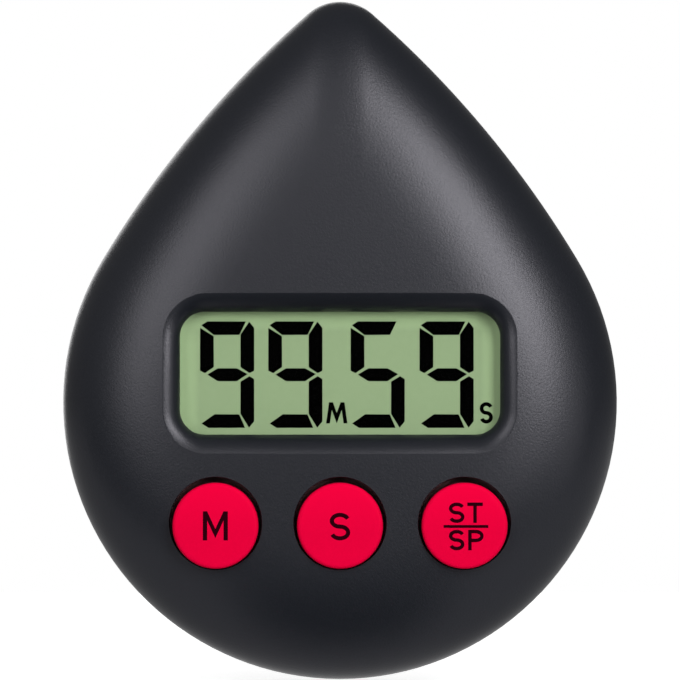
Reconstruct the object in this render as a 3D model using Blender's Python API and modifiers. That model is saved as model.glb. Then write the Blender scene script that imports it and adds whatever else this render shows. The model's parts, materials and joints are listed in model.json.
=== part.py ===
"""Drop-shaped digital shower timer: a sealed two-shell case that hangs on a suction cup.

The pieces are drawn lying on the wall plane: x runs across, y runs up the drop and z comes
forward from the wall. One frame then stands them upright, facing -Y.
"""

import math

import bmesh
import bpy

MM = 0.001

# Clearances
GAP = 0.3 * MM                  # between pieces that sit on or in each other
BOND = 0.1 * MM                 # between pieces that are glued together

# Outline of the case from the front: a round lobe, two long flanks and a small tip
LOBE_RADIUS = 37.0 * MM
TIP_RADIUS = 6.5 * MM
TIP_RISE = 47.0 * MM            # centre of the tip above the centre of the lobe
FLANK_RADIUS = 138.0 * MM

# Shells
WALL = 2.2 * MM
SIDE_BAND = 2.0 * MM            # upright band of the front shell above the parting line
ROLL_WIDTH = 18.0 * MM          # how far the rounded shoulder reaches in from the outline
FACE_HEIGHT = 11.0 * MM         # rise of the face above the upright band
FACE_RADIUS = 400.0 * MM        # crown of the face
SHOULDER_POWER = 2.5            # 2 is an ellipse; more keeps the face flatter and the edge fuller
FACE_TIP_RADIUS = 4.0 * MM      # tip of the outline where the shoulder meets the face
REAR_ROLL_WIDTH = 7.0 * MM
REAR_ROLL_HEIGHT = 6.5 * MM
RIM_WALL = 1.1 * MM             # front rim that laps over the rear lip
LIP_WALL = 1.0 * MM
LIP_HEIGHT = 1.4 * MM
GASKET_WIDTH = 0.8 * MM
GASKET_HEIGHT = 1.0 * MM

# Display
DISPLAY_RISE = 3.9 * MM         # centre of the display above the centre of the lobe
WINDOW_WIDTH = 42.5 * MM
WINDOW_HEIGHT = 16.5 * MM
WINDOW_CORNER = 3.3 * MM
WINDOW_LIP = 0.6 * MM
BEZEL_SIDE = 2.4 * MM           # bezel slope at the ends of the window
BEZEL_TOP = 2.45 * MM           # bezel slope above and below the window
BEZEL_CORNER = 6.0 * MM
BEZEL_STEP = 0.15 * MM          # crisp step at the outer edge of the bezel
BEZEL_ENTRY = 15.0              # degrees the bezel slopes where it leaves the face
BEZEL_DEPTH = 2.6 * MM          # window edge below the highest point of the face
LENS_MARGIN = 1.6 * MM
LENS_THICKNESS = 1.2 * MM
CELL_MARGIN = 2.7 * MM          # glass beyond the window on each side
GLASS_THICKNESS = 1.1 * MM
CONTACT_LEDGE = 3.0 * MM
FRAME_WALL = 1.6 * MM           # wall of the moulded frame round the glass
REFLECTOR_THICKNESS = 0.3 * MM
REFLECTOR_MARGIN = 1.0 * MM
ZEBRA_HEIGHT = 3.0 * MM
ZEBRA_DEPTH = 2.0 * MM
ZEBRA_END = 2.0 * MM
SUPPORT_DEPTH = 2.0 * MM

# Buttons
BUTTON_RADIUS = 5.7 * MM
BUTTON_BELOW_BEZEL = 9.5 * MM   # button centres below the outer edge of the bezel
BUTTON_APART = 2.7 * MM         # between the flanges of neighbouring buttons
BUTTON_PROUD = 0.6 * MM
BUTTON_EDGE = 0.5 * MM
BUTTON_WALL = 1.0 * MM
BUTTON_TRAVEL = 1.0 * MM
FLANGE_WIDTH = 1.2 * MM
FLANGE_HEIGHT = 0.8 * MM
WELL_CLEARANCE = 0.45 * MM      # well radius beyond the cap radius
WELL_REST_GAP = 0.15 * MM       # the cap settles this close to the low side of its well
WELL_WALL = 1.25 * MM
STEM_RADIUS = 2.2 * MM
DOME_HEIGHT = 2.8 * MM
DOME_WALL = 0.6 * MM
DOME_BASE = 0.8 * MM
PILL_RADIUS = 1.4 * MM
PILL_HEIGHT = 0.5 * MM

# Circuit board
BOARD_INSET = 8.8 * MM
BOARD_THICKNESS = 1.2 * MM
BOARD_TOP_MARGIN = 6.6 * MM     # board above the top edge of the glass
BOARD_POST_RADIUS = 2.4 * MM
BOARD_POST_X = 16.0 * MM
BOARD_POST_RISE = 4.0 * MM      # upper posts above the top edge of the glass
BOARD_POST_MARGIN = 2.9 * MM    # lower posts in from the round edge of the board
BLOB_RADIUS = 4.5 * MM
BLOB_HEIGHT = 1.3 * MM
CRYSTAL_RADIUS = 1.0 * MM
CRYSTAL_LENGTH = 6.0 * MM
CAPACITOR_LENGTH = 2.0 * MM
CAPACITOR_WIDTH = 1.25 * MM
CAPACITOR_HEIGHT = 0.9 * MM

# Screws
CASE_SCREW_INSET = 5.5 * MM
CASE_SCREW_ANGLE = 11.0         # side screws below the level of the lobe's centre, in degrees
TOP_SCREW_INSET = 11.5 * MM
CASE_POST_RADIUS = 2.6 * MM
CASE_SCREW_RADIUS = 1.1 * MM
CASE_SCREW_LENGTH = 9.0 * MM
CASE_HEAD_RADIUS = 2.1 * MM
CASE_HEAD_HEIGHT = 1.6 * MM
CASE_HEAD_DEPTH = 1.4 * MM      # head below the back of the case
SCREW_TUBE_WALL = 1.2 * MM
BOARD_SCREW_RADIUS = 0.9 * MM
BOARD_SCREW_LENGTH = 4.4 * MM
BOARD_HEAD_RADIUS = 1.7 * MM
BOARD_HEAD_HEIGHT = 1.1 * MM
SCREW_TIP = 0.8 * MM
TIP_SHARE = 0.4                 # flat end of a screw, as a share of its shank
HEAD_SIDE_SHARE = 0.6           # upright side of a head, as a share of its height
HEAD_FLAT_SHARE = 0.7           # flat of a head, as a share of its radius
CROSS_SHARE = 0.28              # arm of the cross recess, as a share of the head radius
CROSS_DEPTH_SHARE = 0.5

# Battery and its door
BATTERY_INSET = 22.0 * MM       # battery axis up from the lowest point of the case
BATTERY_RADIUS = 5.8 * MM
BATTERY_HEIGHT = 5.4 * MM
BATTERY_CAP_RADIUS = 4.8 * MM
DOOR_RADIUS = 8.5 * MM
DOOR_FLANGE = 1.5 * MM
DOOR_PLUG_WALL = 1.1 * MM
DOOR_LEDGE = 1.5 * MM
DOOR_POCKET = 1.1 * MM
LUG_HEIGHT = 1.2 * MM
LUG_HALF_ANGLE = 14.0           # degrees
DOOR_TURN = 60.0                # degrees from locked to free, anticlockwise seen from behind
COIN_SLOT_LENGTH = 11.0 * MM
COIN_SLOT_WIDTH = 1.8 * MM
COIN_SLOT_DEPTH = 0.9 * MM
SEAL_RADIUS = 0.5 * MM
BATTERY_BOSS_WALL = 1.8 * MM
CONTACT_ROOM = 1.9 * MM         # between the cell and the board
CONTACT_THICKNESS = 0.35 * MM
CONTACT_WIDTH = 4.0 * MM
CONTACT_FOOT = 3.2 * MM

# Sounder
SOUNDER_RADIUS = 7.5 * MM
SOUNDER_THICKNESS = 0.3 * MM
SOUNDER_INSET = 17.5 * MM       # sounder axis in from the side of the case
SOUNDER_DROP = 3.0 * MM
CERAMIC_RADIUS = 5.5 * MM
SOUNDER_RIB_WALL = 1.0 * MM
SOUNDER_RIB_HEIGHT = 1.4 * MM
SOUND_HOLE_RADIUS = 0.75 * MM
SOUND_HOLE_CIRCLE = 3.2 * MM
SOUND_HOLES = 6
LEAD_RADIUS = 0.4 * MM
LEAD_POINTS = 9

# Suction cup and its keyhole
CUP_RISE = 14.0 * MM            # cup axis above the centre of the lobe
CUP_RADIUS = 19.0 * MM
CUP_HEIGHT = 6.0 * MM
CUP_HOLLOW = 3.6 * MM
CUP_RIM_HEIGHT = 0.8 * MM
CUP_RIM_WIDTH = 1.5 * MM
CUP_STANDOFF = 7.5 * MM         # back of the case from the wall
CUP_OUTER_POWER = 1.6           # more is a fuller back of the dish
CUP_INNER_POWER = 1.8           # more is a fuller hollow
NECK_RADIUS = 3.0 * MM
HEAD_RADIUS = 5.0 * MM
HEAD_HEIGHT = 2.0 * MM
KEYHOLE_PLATE = 1.6 * MM
KEYHOLE_DROP = 9.5 * MM         # entry of the keyhole below its seat
KEYHOLE_WALL = 1.4 * MM

# Facets
LOBE_STEPS = 14
FLANK_STEPS = 4
TIP_STEPS = 5
ROLL_STEPS = 5
CORNER_STEPS = 4
LARGE_STEPS = 32
ROUND_STEPS = 24
DOME_STEPS = 18
SMALL_STEPS = 10
CAP_EDGE_STEPS = 3
DISH_STEPS = 6
FACE_SHARES = (0.75, 0.5, 0.25)
SMOOTH_ANGLE = 35.0             # degrees

# Places worked out across the drop
BEZEL_CENTRE_Y = DISPLAY_RISE
GLASS_HALF_WIDTH = WINDOW_WIDTH / 2 + CELL_MARGIN
GLASS_HALF_HEIGHT = WINDOW_HEIGHT / 2 + CELL_MARGIN
GLASS_TOP_Y = BEZEL_CENTRE_Y + GLASS_HALF_HEIGHT
GLASS_LOW_Y = BEZEL_CENTRE_Y - GLASS_HALF_HEIGHT
FLANGE_RADIUS = BUTTON_RADIUS + FLANGE_WIDTH
WELL_RADIUS = BUTTON_RADIUS + WELL_CLEARANCE
WELL_SHIFT = WELL_CLEARANCE - WELL_REST_GAP
BUTTON_Y = BEZEL_CENTRE_Y - WINDOW_HEIGHT / 2 - BEZEL_TOP - BUTTON_BELOW_BEZEL
BUTTON_PITCH = 2 * FLANGE_RADIUS + BUTTON_APART
BATTERY_Y = BATTERY_INSET - LOBE_RADIUS
SOUNDER_X = -(LOBE_RADIUS - SOUNDER_INSET)
SOUNDER_Y = -SOUNDER_DROP
PLUG_RADIUS = BATTERY_RADIUS + GAP + DOOR_PLUG_WALL
LEDGE_RADIUS = PLUG_RADIUS + GAP
SEAT_RADIUS = DOOR_RADIUS + GAP
POCKET_RADIUS = HEAD_RADIUS + 2 * GAP

# Levels worked out from the wall to the face
BACK_Z = CUP_STANDOFF
REAR_FLOOR_Z = BACK_Z + WALL
LEDGE_LOW_Z = BACK_Z + DOOR_FLANGE + GAP
LEDGE_TOP_Z = LEDGE_LOW_Z + DOOR_LEDGE
LUG_LOW_Z = LEDGE_TOP_Z + GAP
PLUG_TOP_Z = LUG_LOW_Z + LUG_HEIGHT + GAP
POCKET_FLOOR_Z = PLUG_TOP_Z - DOOR_POCKET
BATTERY_LOW_Z = POCKET_FLOOR_Z + GAP
BATTERY_TOP_Z = BATTERY_LOW_Z + BATTERY_HEIGHT
BOARD_REAR_Z = BATTERY_TOP_Z + CONTACT_ROOM
BOARD_FRONT_Z = BOARD_REAR_Z + BOARD_THICKNESS
LEDGE_GLASS_Z = BOARD_FRONT_Z + GAP + ZEBRA_HEIGHT + GAP
GLASS_FRONT_Z = LEDGE_GLASS_Z + GLASS_THICKNESS
GLASS_REAR_Z = LEDGE_GLASS_Z - GLASS_THICKNESS
LENS_REAR_Z = GLASS_FRONT_Z + GAP
LENS_FRONT_Z = LENS_REAR_Z + LENS_THICKNESS
LIP_REAR_Z = LENS_FRONT_Z + GAP
WINDOW_EDGE_Z = LIP_REAR_Z + WINDOW_LIP
FACE_Z = WINDOW_EDGE_Z + BEZEL_DEPTH
ROLL_START_Z = FACE_Z - FACE_HEIGHT
PART_Z = ROLL_START_Z - SIDE_BAND
RABBET_Z = PART_Z + LIP_HEIGHT + GASKET_HEIGHT + 2 * GAP
FLANGE_LOW_Z = BOARD_FRONT_Z + BUTTON_TRAVEL + 2 * GAP
FLANGE_TOP_Z = FLANGE_LOW_Z + FLANGE_HEIGHT
WELL_LOW_Z = FLANGE_TOP_Z + GAP
DOME_LOW_Z = BOARD_FRONT_Z + GAP
DOME_TOP_Z = DOME_LOW_Z + DOME_HEIGHT
PILL_LOW_Z = BOARD_FRONT_Z + BUTTON_TRAVEL + GAP
STEM_LOW_Z = DOME_TOP_Z + GAP
KEYHOLE_LOW_Z = BACK_Z + KEYHOLE_PLATE
KEYHOLE_TOP_Z = KEYHOLE_LOW_Z + HEAD_HEIGHT + 2 * GAP
BEYOND = 5.0 * MM               # how far a cutter runs past what it cuts


# Scene

def clear_scene():
    for obj in list(bpy.data.objects):
        bpy.data.objects.remove(obj, do_unlink=True)


def new_collection(name):
    collection = bpy.data.collections.new(name)
    bpy.context.scene.collection.children.link(collection)
    return collection


clear_scene()
PARTS = new_collection("shower_timer")
CUTTERS = new_collection("cutters")


def new_empty(name, parent=None):
    empty = bpy.data.objects.new(name, None)
    empty.empty_display_size = 10 * MM
    PARTS.objects.link(empty)
    empty.parent = parent
    return empty


WALL_FRAME = new_empty("wall_frame")
WALL_FRAME.rotation_euler = (math.radians(90), 0, 0)
CASE_FRAME = new_empty("case_frame", WALL_FRAME)
CASE_FRAME.location = (0, -CUP_RISE, 0)


def new_object(name, mesh, at=(0, 0, 0), cutter=False):
    obj = bpy.data.objects.new(name, mesh)
    obj.parent = CASE_FRAME
    obj.location = at
    if cutter:
        CUTTERS.objects.link(obj)
        obj.hide_render = True
        obj.display_type = "WIRE"
    else:
        PARTS.objects.link(obj)
    return obj


def finish(obj, colour, roughness, metallic=0.0, alpha=1.0):
    """Give a piece its own material."""
    paint = bpy.data.materials.new(obj.name)
    paint.use_nodes = True
    shader = paint.node_tree.nodes["Principled BSDF"]
    shader.inputs["Base Color"].default_value = (*colour, 1.0)
    shader.inputs["Roughness"].default_value = roughness
    shader.inputs["Metallic"].default_value = metallic
    shader.inputs["Alpha"].default_value = alpha
    obj.data.materials.clear()
    obj.data.materials.append(paint)
    return obj


def mesh_from(name, work):
    mesh = bpy.data.meshes.new(name)
    work.to_mesh(mesh)
    work.free()
    mesh.shade_smooth()
    mesh.set_sharp_from_angle(angle=math.radians(SMOOTH_ANGLE))
    return mesh


# Shapes

def loft(name, rings, at=(0, 0, 0), cutter=False):
    """Closed skin over rings of equal count, each counter-clockwise seen from its far end."""
    work = bmesh.new()
    loops = [[work.verts.new(point) for point in ring] for ring in rings]
    count = len(loops[0])
    for low, high in zip(loops, loops[1:]):
        for i in range(count):
            j = (i + 1) % count
            work.faces.new((low[i], low[j], high[j], high[i]))
    work.faces.new(list(reversed(loops[0])))
    work.faces.new(loops[-1])
    return new_object(name, mesh_from(name, work), at, cutter)


def level(outline, z):
    return [(x, y, z) for x, y in outline]


def prism(name, outline, low, high, at=(0, 0, 0), cutter=False):
    return loft(name, [level(outline, low), level(outline, high)], at, cutter)


def cylinder(name, radius, low, high, at=(0, 0), cutter=False, steps=ROUND_STEPS):
    work = bmesh.new()
    bmesh.ops.create_cone(work, cap_ends=True, segments=steps, radius1=radius,
                          radius2=radius, depth=high - low)
    return new_object(name, mesh_from(name, work), (*at, (low + high) / 2), cutter)


def box(name, size, centre, cutter=False):
    work = bmesh.new()
    bmesh.ops.create_cube(work, size=1.0)
    bmesh.ops.scale(work, vec=size, verts=work.verts)
    return new_object(name, mesh_from(name, work), centre, cutter)


def turned(name, profile, at=(0, 0), steps=ROUND_STEPS, cutter=False):
    """Round piece from a profile of (radius, z) that runs down its outer side."""
    work = bmesh.new()
    points = [work.verts.new((radius, 0, z)) for radius, z in profile]
    for upper, lower in zip(points, points[1:]):
        work.edges.new((upper, lower))
    mesh = bpy.data.meshes.new(name)
    work.to_mesh(mesh)
    work.free()
    obj = new_object(name, mesh, (*at, 0), cutter)
    screw = obj.modifiers.new("turn", "SCREW")
    screw.axis = "Z"
    screw.angle = math.tau
    screw.steps = steps
    screw.render_steps = steps
    screw.use_merge_vertices = True
    screw.merge_threshold = 0.000001
    screw.use_smooth_shade = True
    return obj


def cut(target, cutter, operation="DIFFERENCE"):
    boolean = target.modifiers.new(cutter.name, "BOOLEAN")
    boolean.operation = operation
    boolean.solver = "EXACT"
    boolean.object = cutter


def arc(centre, radius, start, stop, steps):
    """Points of an arc, its angles in degrees, both ends included."""
    angles = [math.radians(start + (stop - start) * i / steps) for i in range(steps + 1)]
    return [(centre[0] + radius * math.cos(a), centre[1] + radius * math.sin(a)) for a in angles]


def rounded_rectangle(half_width, half_height, corner, centre=(0, 0)):
    points = []
    for quarter, (sx, sy) in enumerate(((1, -1), (1, 1), (-1, 1), (-1, -1))):
        middle = (centre[0] + sx * (half_width - corner), centre[1] + sy * (half_height - corner))
        points += arc(middle, corner, 90 * quarter - 90, 90 * quarter, CORNER_STEPS)
    return points


def slot_outline(radius, low, high):
    """Upright slot with round ends centred at the two heights."""
    half = ROUND_STEPS // 2
    return arc((0, low), radius, 180, 360, half) + arc((0, high), radius, 0, 180, half)


def sector(inner, outer, middle, half_angle):
    """Piece of a flat ring about the origin."""
    ends = (middle - half_angle, middle + half_angle)
    return arc((0, 0), outer, *ends, CORNER_STEPS) + arc((0, 0), inner, *reversed(ends), CORNER_STEPS)


# The drop outline

def flank_centre():
    """Centre of the right flank's arc, which touches the lobe and the tip from outside."""
    to_lobe = FLANK_RADIUS - LOBE_RADIUS
    to_tip = FLANK_RADIUS - TIP_RADIUS
    y = (to_lobe ** 2 - to_tip ** 2 + TIP_RISE ** 2) / (2 * TIP_RISE)
    return -math.sqrt(to_lobe ** 2 - y ** 2), y


def drop(inset, tip_radius):
    """The case outline moved in by the inset, with its tip rounded to a radius of its own."""
    cx, cy = flank_centre()
    flank = FLANK_RADIUS - inset
    tip_y = cy + math.sqrt((flank - tip_radius) ** 2 - cx ** 2)
    lobe_end = math.degrees(math.atan2(-cy, -cx))
    flank_end = math.degrees(math.atan2(tip_y - cy, -cx))
    right = arc((0, 0), LOBE_RADIUS - inset, -90, lobe_end, LOBE_STEPS)
    right += arc((cx, cy), flank, lobe_end, flank_end, FLANK_STEPS)[1:]
    right += arc((0, tip_y), tip_radius, flank_end, 90, TIP_STEPS)[1:]
    left = [(-x, y) for x, y in reversed(right[1:-1])]
    return right + left


def tip_at(inset):
    """Tip radius between the case outline and the edge of the face."""
    return TIP_RADIUS + (FACE_TIP_RADIUS - TIP_RADIUS) * inset / ROLL_WIDTH


def crown_drop(x, y):
    """How far the crowned face falls below its highest point."""
    return (x ** 2 + (y - BEZEL_CENTRE_Y) ** 2) / (2 * FACE_RADIUS)


def shoulder(inset_low, start_z, height):
    """Rings of the rounded shoulder, from an upright edge to the edge of the face."""
    rings = []
    for step in range(ROLL_STEPS + 1):
        turn = math.radians(90 * step / ROLL_STEPS)
        along = max(math.cos(turn), 0) ** (2 / SHOULDER_POWER)
        inset = inset_low + (ROLL_WIDTH - inset_low) * (1 - along)
        rise = math.sin(turn) ** (2 / SHOULDER_POWER)
        outline = drop(inset, tip_at(inset))
        rings.append([(x, y, start_z + rise * (height - crown_drop(x, y))) for x, y in outline])
    return rings


def face(edge, top_z):
    """Rings of the crowned face, shrinking from its edge towards its highest point."""
    rings = []
    for share in FACE_SHARES:
        ring = [(x * share, BEZEL_CENTRE_Y + (y - BEZEL_CENTRE_Y) * share) for x, y, _ in edge]
        rings.append([(x, y, top_z - crown_drop(x, y)) for x, y in ring])
    return rings


def face_level(x, y):
    """Height of the front surface over a place away from the tip."""
    cx, cy = flank_centre()
    past_lobe = (y - cy) * -cx > (abs(x) - cx) * -cy
    if past_lobe:
        inset = FLANK_RADIUS - math.hypot(abs(x) - cx, y - cy)
    else:
        inset = LOBE_RADIUS - math.hypot(x, y)
    along = max(1 - inset / ROLL_WIDTH, 0)
    rise = (1 - along ** SHOULDER_POWER) ** (1 / SHOULDER_POWER)
    return ROLL_START_Z + rise * (FACE_HEIGHT - crown_drop(x, y))


# Places that several pieces share

def button_places():
    return {
        "minutes": (-BUTTON_PITCH, BUTTON_Y),
        "seconds": (0.0, BUTTON_Y),
        "start_stop": (BUTTON_PITCH, BUTTON_Y),
    }


def board_post_places():
    upper = GLASS_TOP_Y + BOARD_POST_RISE
    reach = LOBE_RADIUS - BOARD_INSET - BOARD_POST_MARGIN
    lower = -math.sqrt(reach ** 2 - (BUTTON_PITCH / 2) ** 2)
    return {
        "upper_left": (-BOARD_POST_X, upper),
        "upper_right": (BOARD_POST_X, upper),
        "lower_left": (-BUTTON_PITCH / 2, lower),
        "lower_right": (BUTTON_PITCH / 2, lower),
    }


def case_screw_places():
    reach = LOBE_RADIUS - CASE_SCREW_INSET
    side = math.radians(CASE_SCREW_ANGLE)
    return {
        "top": (0.0, TIP_RISE + TIP_RADIUS - TOP_SCREW_INSET),
        "left": (-reach * math.cos(side), -reach * math.sin(side)),
        "right": (reach * math.cos(side), -reach * math.sin(side)),
        "bottom": (0.0, -reach),
    }


# Case shells

def bezel_cutter():
    """Recess of the bezel: a crisp step, a slope that steepens inwards and the window."""
    half_w = WINDOW_WIDTH / 2
    half_h = WINDOW_HEIGHT / 2
    centre = (0, BEZEL_CENTRE_Y)

    def ring(share, z):
        corner = WINDOW_CORNER + (BEZEL_CORNER - WINDOW_CORNER) * share
        outline = rounded_rectangle(half_w + BEZEL_SIDE * share, half_h + BEZEL_TOP * share, corner, centre)
        return level(outline, z)

    first = math.radians(BEZEL_ENTRY)
    last = math.radians(90 - BEZEL_ENTRY)
    span = math.sin(last) - math.sin(first)
    rings = [ring(0, LIP_REAR_Z - WINDOW_LIP)]
    for step in range(ROLL_STEPS + 1):
        turn = last + (first - last) * step / ROLL_STEPS
        fall = (math.cos(first) - math.cos(turn)) / span
        blended = []
        for x, y, _ in ring((math.sin(last) - math.sin(turn)) / span, 0):
            upper = face_level(x, y) - BEZEL_STEP
            blended.append((x, y, upper + (WINDOW_EDGE_Z - upper) * fall))
        rings.append(blended)
    rings.append(ring(1, FACE_Z + BEYOND))
    return loft("bezel_recess", rings, cutter=True)


def glass_frame(name, grow, low, high, corner=GAP):
    """Upright block of the glass outline grown on every side, from the board side up."""
    outline = rounded_rectangle(GLASS_HALF_WIDTH + grow, GLASS_HALF_HEIGHT + grow, corner,
                                (0, BEZEL_CENTRE_Y))
    return prism(name, outline, low, high, cutter=True)


def front_cavity():
    """Hollow of the front shell, with the frame, wells and posts left standing in it."""
    lap = drop(RIM_WALL, tip_at(RIM_WALL))
    slope = shoulder(WALL, RABBET_Z, FACE_Z - WALL - RABBET_Z)
    rings = [level(lap, PART_Z - BEYOND), level(lap, RABBET_Z)]
    cavity = loft("front_cavity", rings + slope + face(slope[-1], FACE_Z - WALL), cutter=True)
    top = FACE_Z + BEYOND
    cut(cavity, glass_frame("glass_frame", GAP + FRAME_WALL, GLASS_REAR_Z, top, FRAME_WALL))
    for key, (x, y) in button_places().items():
        cut(cavity, cylinder("well_wall_" + key, WELL_RADIUS + WELL_WALL, WELL_LOW_Z, top,
                             (x, y + WELL_SHIFT), cutter=True))
    for key, place in board_post_places().items():
        cut(cavity, cylinder("board_post_" + key, BOARD_POST_RADIUS, BOARD_FRONT_Z + GAP, top, place,
                             cutter=True, steps=SMALL_STEPS))
    for key, place in case_screw_places().items():
        cut(cavity, cylinder("case_post_" + key, CASE_POST_RADIUS, PART_Z + LIP_HEIGHT, top, place,
                             cutter=True, steps=SMALL_STEPS))
    return cavity


def make_front_case():
    outline = drop(0, TIP_RADIUS)
    slope = shoulder(0, ROLL_START_Z, FACE_HEIGHT)
    case = loft("front_case", [level(outline, PART_Z)] + slope + face(slope[-1], FACE_Z))
    cut(case, front_cavity())
    cut(case, bezel_cutter())
    low = BOARD_FRONT_Z
    lens_grow = GAP + LENS_MARGIN - CELL_MARGIN
    cut(case, glass_frame("lens_seat", lens_grow, low, LIP_REAR_Z))
    cut(case, glass_frame("glass_seat", GAP, low, LENS_REAR_Z))
    for key, (x, y) in button_places().items():
        cut(case, cylinder("well_" + key, WELL_RADIUS, WELL_LOW_Z - BEYOND, FACE_Z + BEYOND,
                           (x, y + WELL_SHIFT), cutter=True, steps=LARGE_STEPS))
    for key, place in board_post_places().items():
        cut(case, cylinder("board_pilot_" + key, BOARD_SCREW_RADIUS + GAP / 2, BOARD_REAR_Z,
                           BOARD_REAR_Z + BOARD_SCREW_LENGTH + GAP, place, cutter=True, steps=SMALL_STEPS))
    for key, place in case_screw_places().items():
        cut(case, cylinder("case_pilot_" + key, CASE_SCREW_RADIUS + GAP / 2, PART_Z,
                           case_shank_z() + CASE_SCREW_LENGTH + GAP, place, cutter=True, steps=SMALL_STEPS))
    return finish(case, (0.028, 0.029, 0.032), 0.38)


def case_shank_z():
    """Where the shank of a case screw leaves its head."""
    return BACK_Z + CASE_HEAD_DEPTH + CASE_HEAD_HEIGHT


def rear_rings(inset, floor_z, roll_width, roll_height):
    """Rings of the rounded back, from its flat up to the start of the upright side."""
    rings = []
    for step in range(ROLL_STEPS + 1):
        turn = math.radians(90 * step / ROLL_STEPS)
        reach = inset + roll_width * (1 - math.sin(turn))
        outline = drop(reach, tip_at(reach))
        rings.append(level(outline, floor_z + roll_height * (1 - math.cos(turn))))
    return rings


def rear_cavity():
    """Hollow of the rear shell, with the screw tubes, seats and sounder rib left standing."""
    inset = RIM_WALL + GAP + LIP_WALL
    rings = rear_rings(inset, REAR_FLOOR_Z, REAR_ROLL_WIDTH, REAR_ROLL_HEIGHT - WALL)
    rings.append(level(drop(inset, tip_at(inset)), PART_Z + LIP_HEIGHT + BEYOND))
    cavity = loft("rear_cavity", rings, cutter=True)
    tube_top = PART_Z + LIP_HEIGHT - GAP
    tube_radius = CASE_HEAD_RADIUS + GAP + SCREW_TUBE_WALL
    for key, place in case_screw_places().items():
        cut(cavity, cylinder("screw_tube_" + key, tube_radius, BACK_Z, tube_top, place,
                             cutter=True, steps=SMALL_STEPS))
    cut(cavity, cylinder("battery_boss", SEAT_RADIUS + BATTERY_BOSS_WALL, BACK_Z, PLUG_TOP_Z,
                         (0, BATTERY_Y), cutter=True))
    block = slot_outline(POCKET_RADIUS + KEYHOLE_WALL, CUP_RISE - KEYHOLE_DROP, CUP_RISE)
    cut(cavity, prism("keyhole_block", block, BACK_Z, KEYHOLE_TOP_Z + KEYHOLE_WALL, cutter=True))
    rib = turned("sounder_rib", [
        (SOUNDER_RADIUS + GAP, REAR_FLOOR_Z + SOUNDER_RIB_HEIGHT),
        (SOUNDER_RADIUS + GAP + SOUNDER_RIB_WALL, REAR_FLOOR_Z + SOUNDER_RIB_HEIGHT),
        (SOUNDER_RADIUS + GAP + SOUNDER_RIB_WALL, BACK_Z),
        (SOUNDER_RADIUS + GAP, BACK_Z),
        (SOUNDER_RADIUS + GAP, REAR_FLOOR_Z + SOUNDER_RIB_HEIGHT),
    ], (SOUNDER_X, SOUNDER_Y), cutter=True)
    cut(cavity, rib)
    return cavity


def cut_battery_seat(cover):
    """Counterbore, bayonet ledge with two notches, and the bore above the ledge."""
    at = (0, BATTERY_Y)
    cut(cover, cylinder("door_counterbore", SEAT_RADIUS, BACK_Z - BEYOND, LEDGE_LOW_Z, at, cutter=True))
    cut(cover, cylinder("door_ledge_hole", LEDGE_RADIUS, BACK_Z, PLUG_TOP_Z + BEYOND, at, cutter=True))
    cut(cover, cylinder("door_lug_bore", SEAT_RADIUS, LEDGE_TOP_Z, PLUG_TOP_Z + BEYOND, at, cutter=True))
    clear_angle = math.degrees(2 * GAP / SEAT_RADIUS)
    for side in (0, 180):
        notch = sector(BATTERY_RADIUS, DOOR_RADIUS + GAP / 2, side - DOOR_TURN, LUG_HALF_ANGLE + clear_angle)
        cut(cover, prism(f"door_notch_{side}", notch, LEDGE_LOW_Z - GAP, LEDGE_TOP_Z + GAP, (*at, 0),
                         cutter=True))


def cut_keyhole(cover):
    """Pocket for the cup's head, the slot for its neck and the round entry."""
    entry = CUP_RISE - KEYHOLE_DROP
    pocket = slot_outline(POCKET_RADIUS, entry, CUP_RISE)
    cut(cover, prism("keyhole_pocket", pocket, KEYHOLE_LOW_Z, KEYHOLE_TOP_Z, cutter=True))
    slot = slot_outline(NECK_RADIUS + GAP, entry, CUP_RISE)
    cut(cover, prism("keyhole_slot", slot, BACK_Z - BEYOND, KEYHOLE_TOP_Z - GAP, cutter=True))
    cut(cover, cylinder("keyhole_entry", POCKET_RADIUS - GAP, BACK_Z - BEYOND, KEYHOLE_TOP_Z - GAP,
                        (0, entry), cutter=True))


def make_rear_cover():
    rings = rear_rings(0, BACK_Z, REAR_ROLL_WIDTH, REAR_ROLL_HEIGHT)
    lip_inset = RIM_WALL + GAP
    lip = drop(lip_inset, tip_at(lip_inset))
    rings.append(level(drop(0, TIP_RADIUS), PART_Z - GAP))
    rings += [level(lip, PART_Z - GAP), level(lip, PART_Z + LIP_HEIGHT)]
    cover = loft("rear_cover", rings)
    cut(cover, rear_cavity())
    cut_battery_seat(cover)
    cut_keyhole(cover)
    for key, place in case_screw_places().items():
        cut(cover, cylinder("head_hole_" + key, CASE_HEAD_RADIUS + GAP, BACK_Z - BEYOND,
                            case_shank_z() + GAP, place, cutter=True, steps=SMALL_STEPS))
        cut(cover, cylinder("shank_hole_" + key, CASE_SCREW_RADIUS + GAP, BACK_Z, PART_Z + BEYOND,
                            place, cutter=True, steps=SMALL_STEPS))
    holes = [(0.0, 0.0)] + arc((0, 0), SOUND_HOLE_CIRCLE, 0, 360, SOUND_HOLES)[:-1]
    for number, (x, y) in enumerate(holes):
        cut(cover, cylinder(f"sound_hole_{number}", SOUND_HOLE_RADIUS, BACK_Z - BEYOND,
                            REAR_FLOOR_Z + BEYOND, (SOUNDER_X + x, SOUNDER_Y + y), cutter=True,
                            steps=CORNER_STEPS * 2))
    return finish(cover, (0.026, 0.027, 0.030), 0.45)


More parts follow.
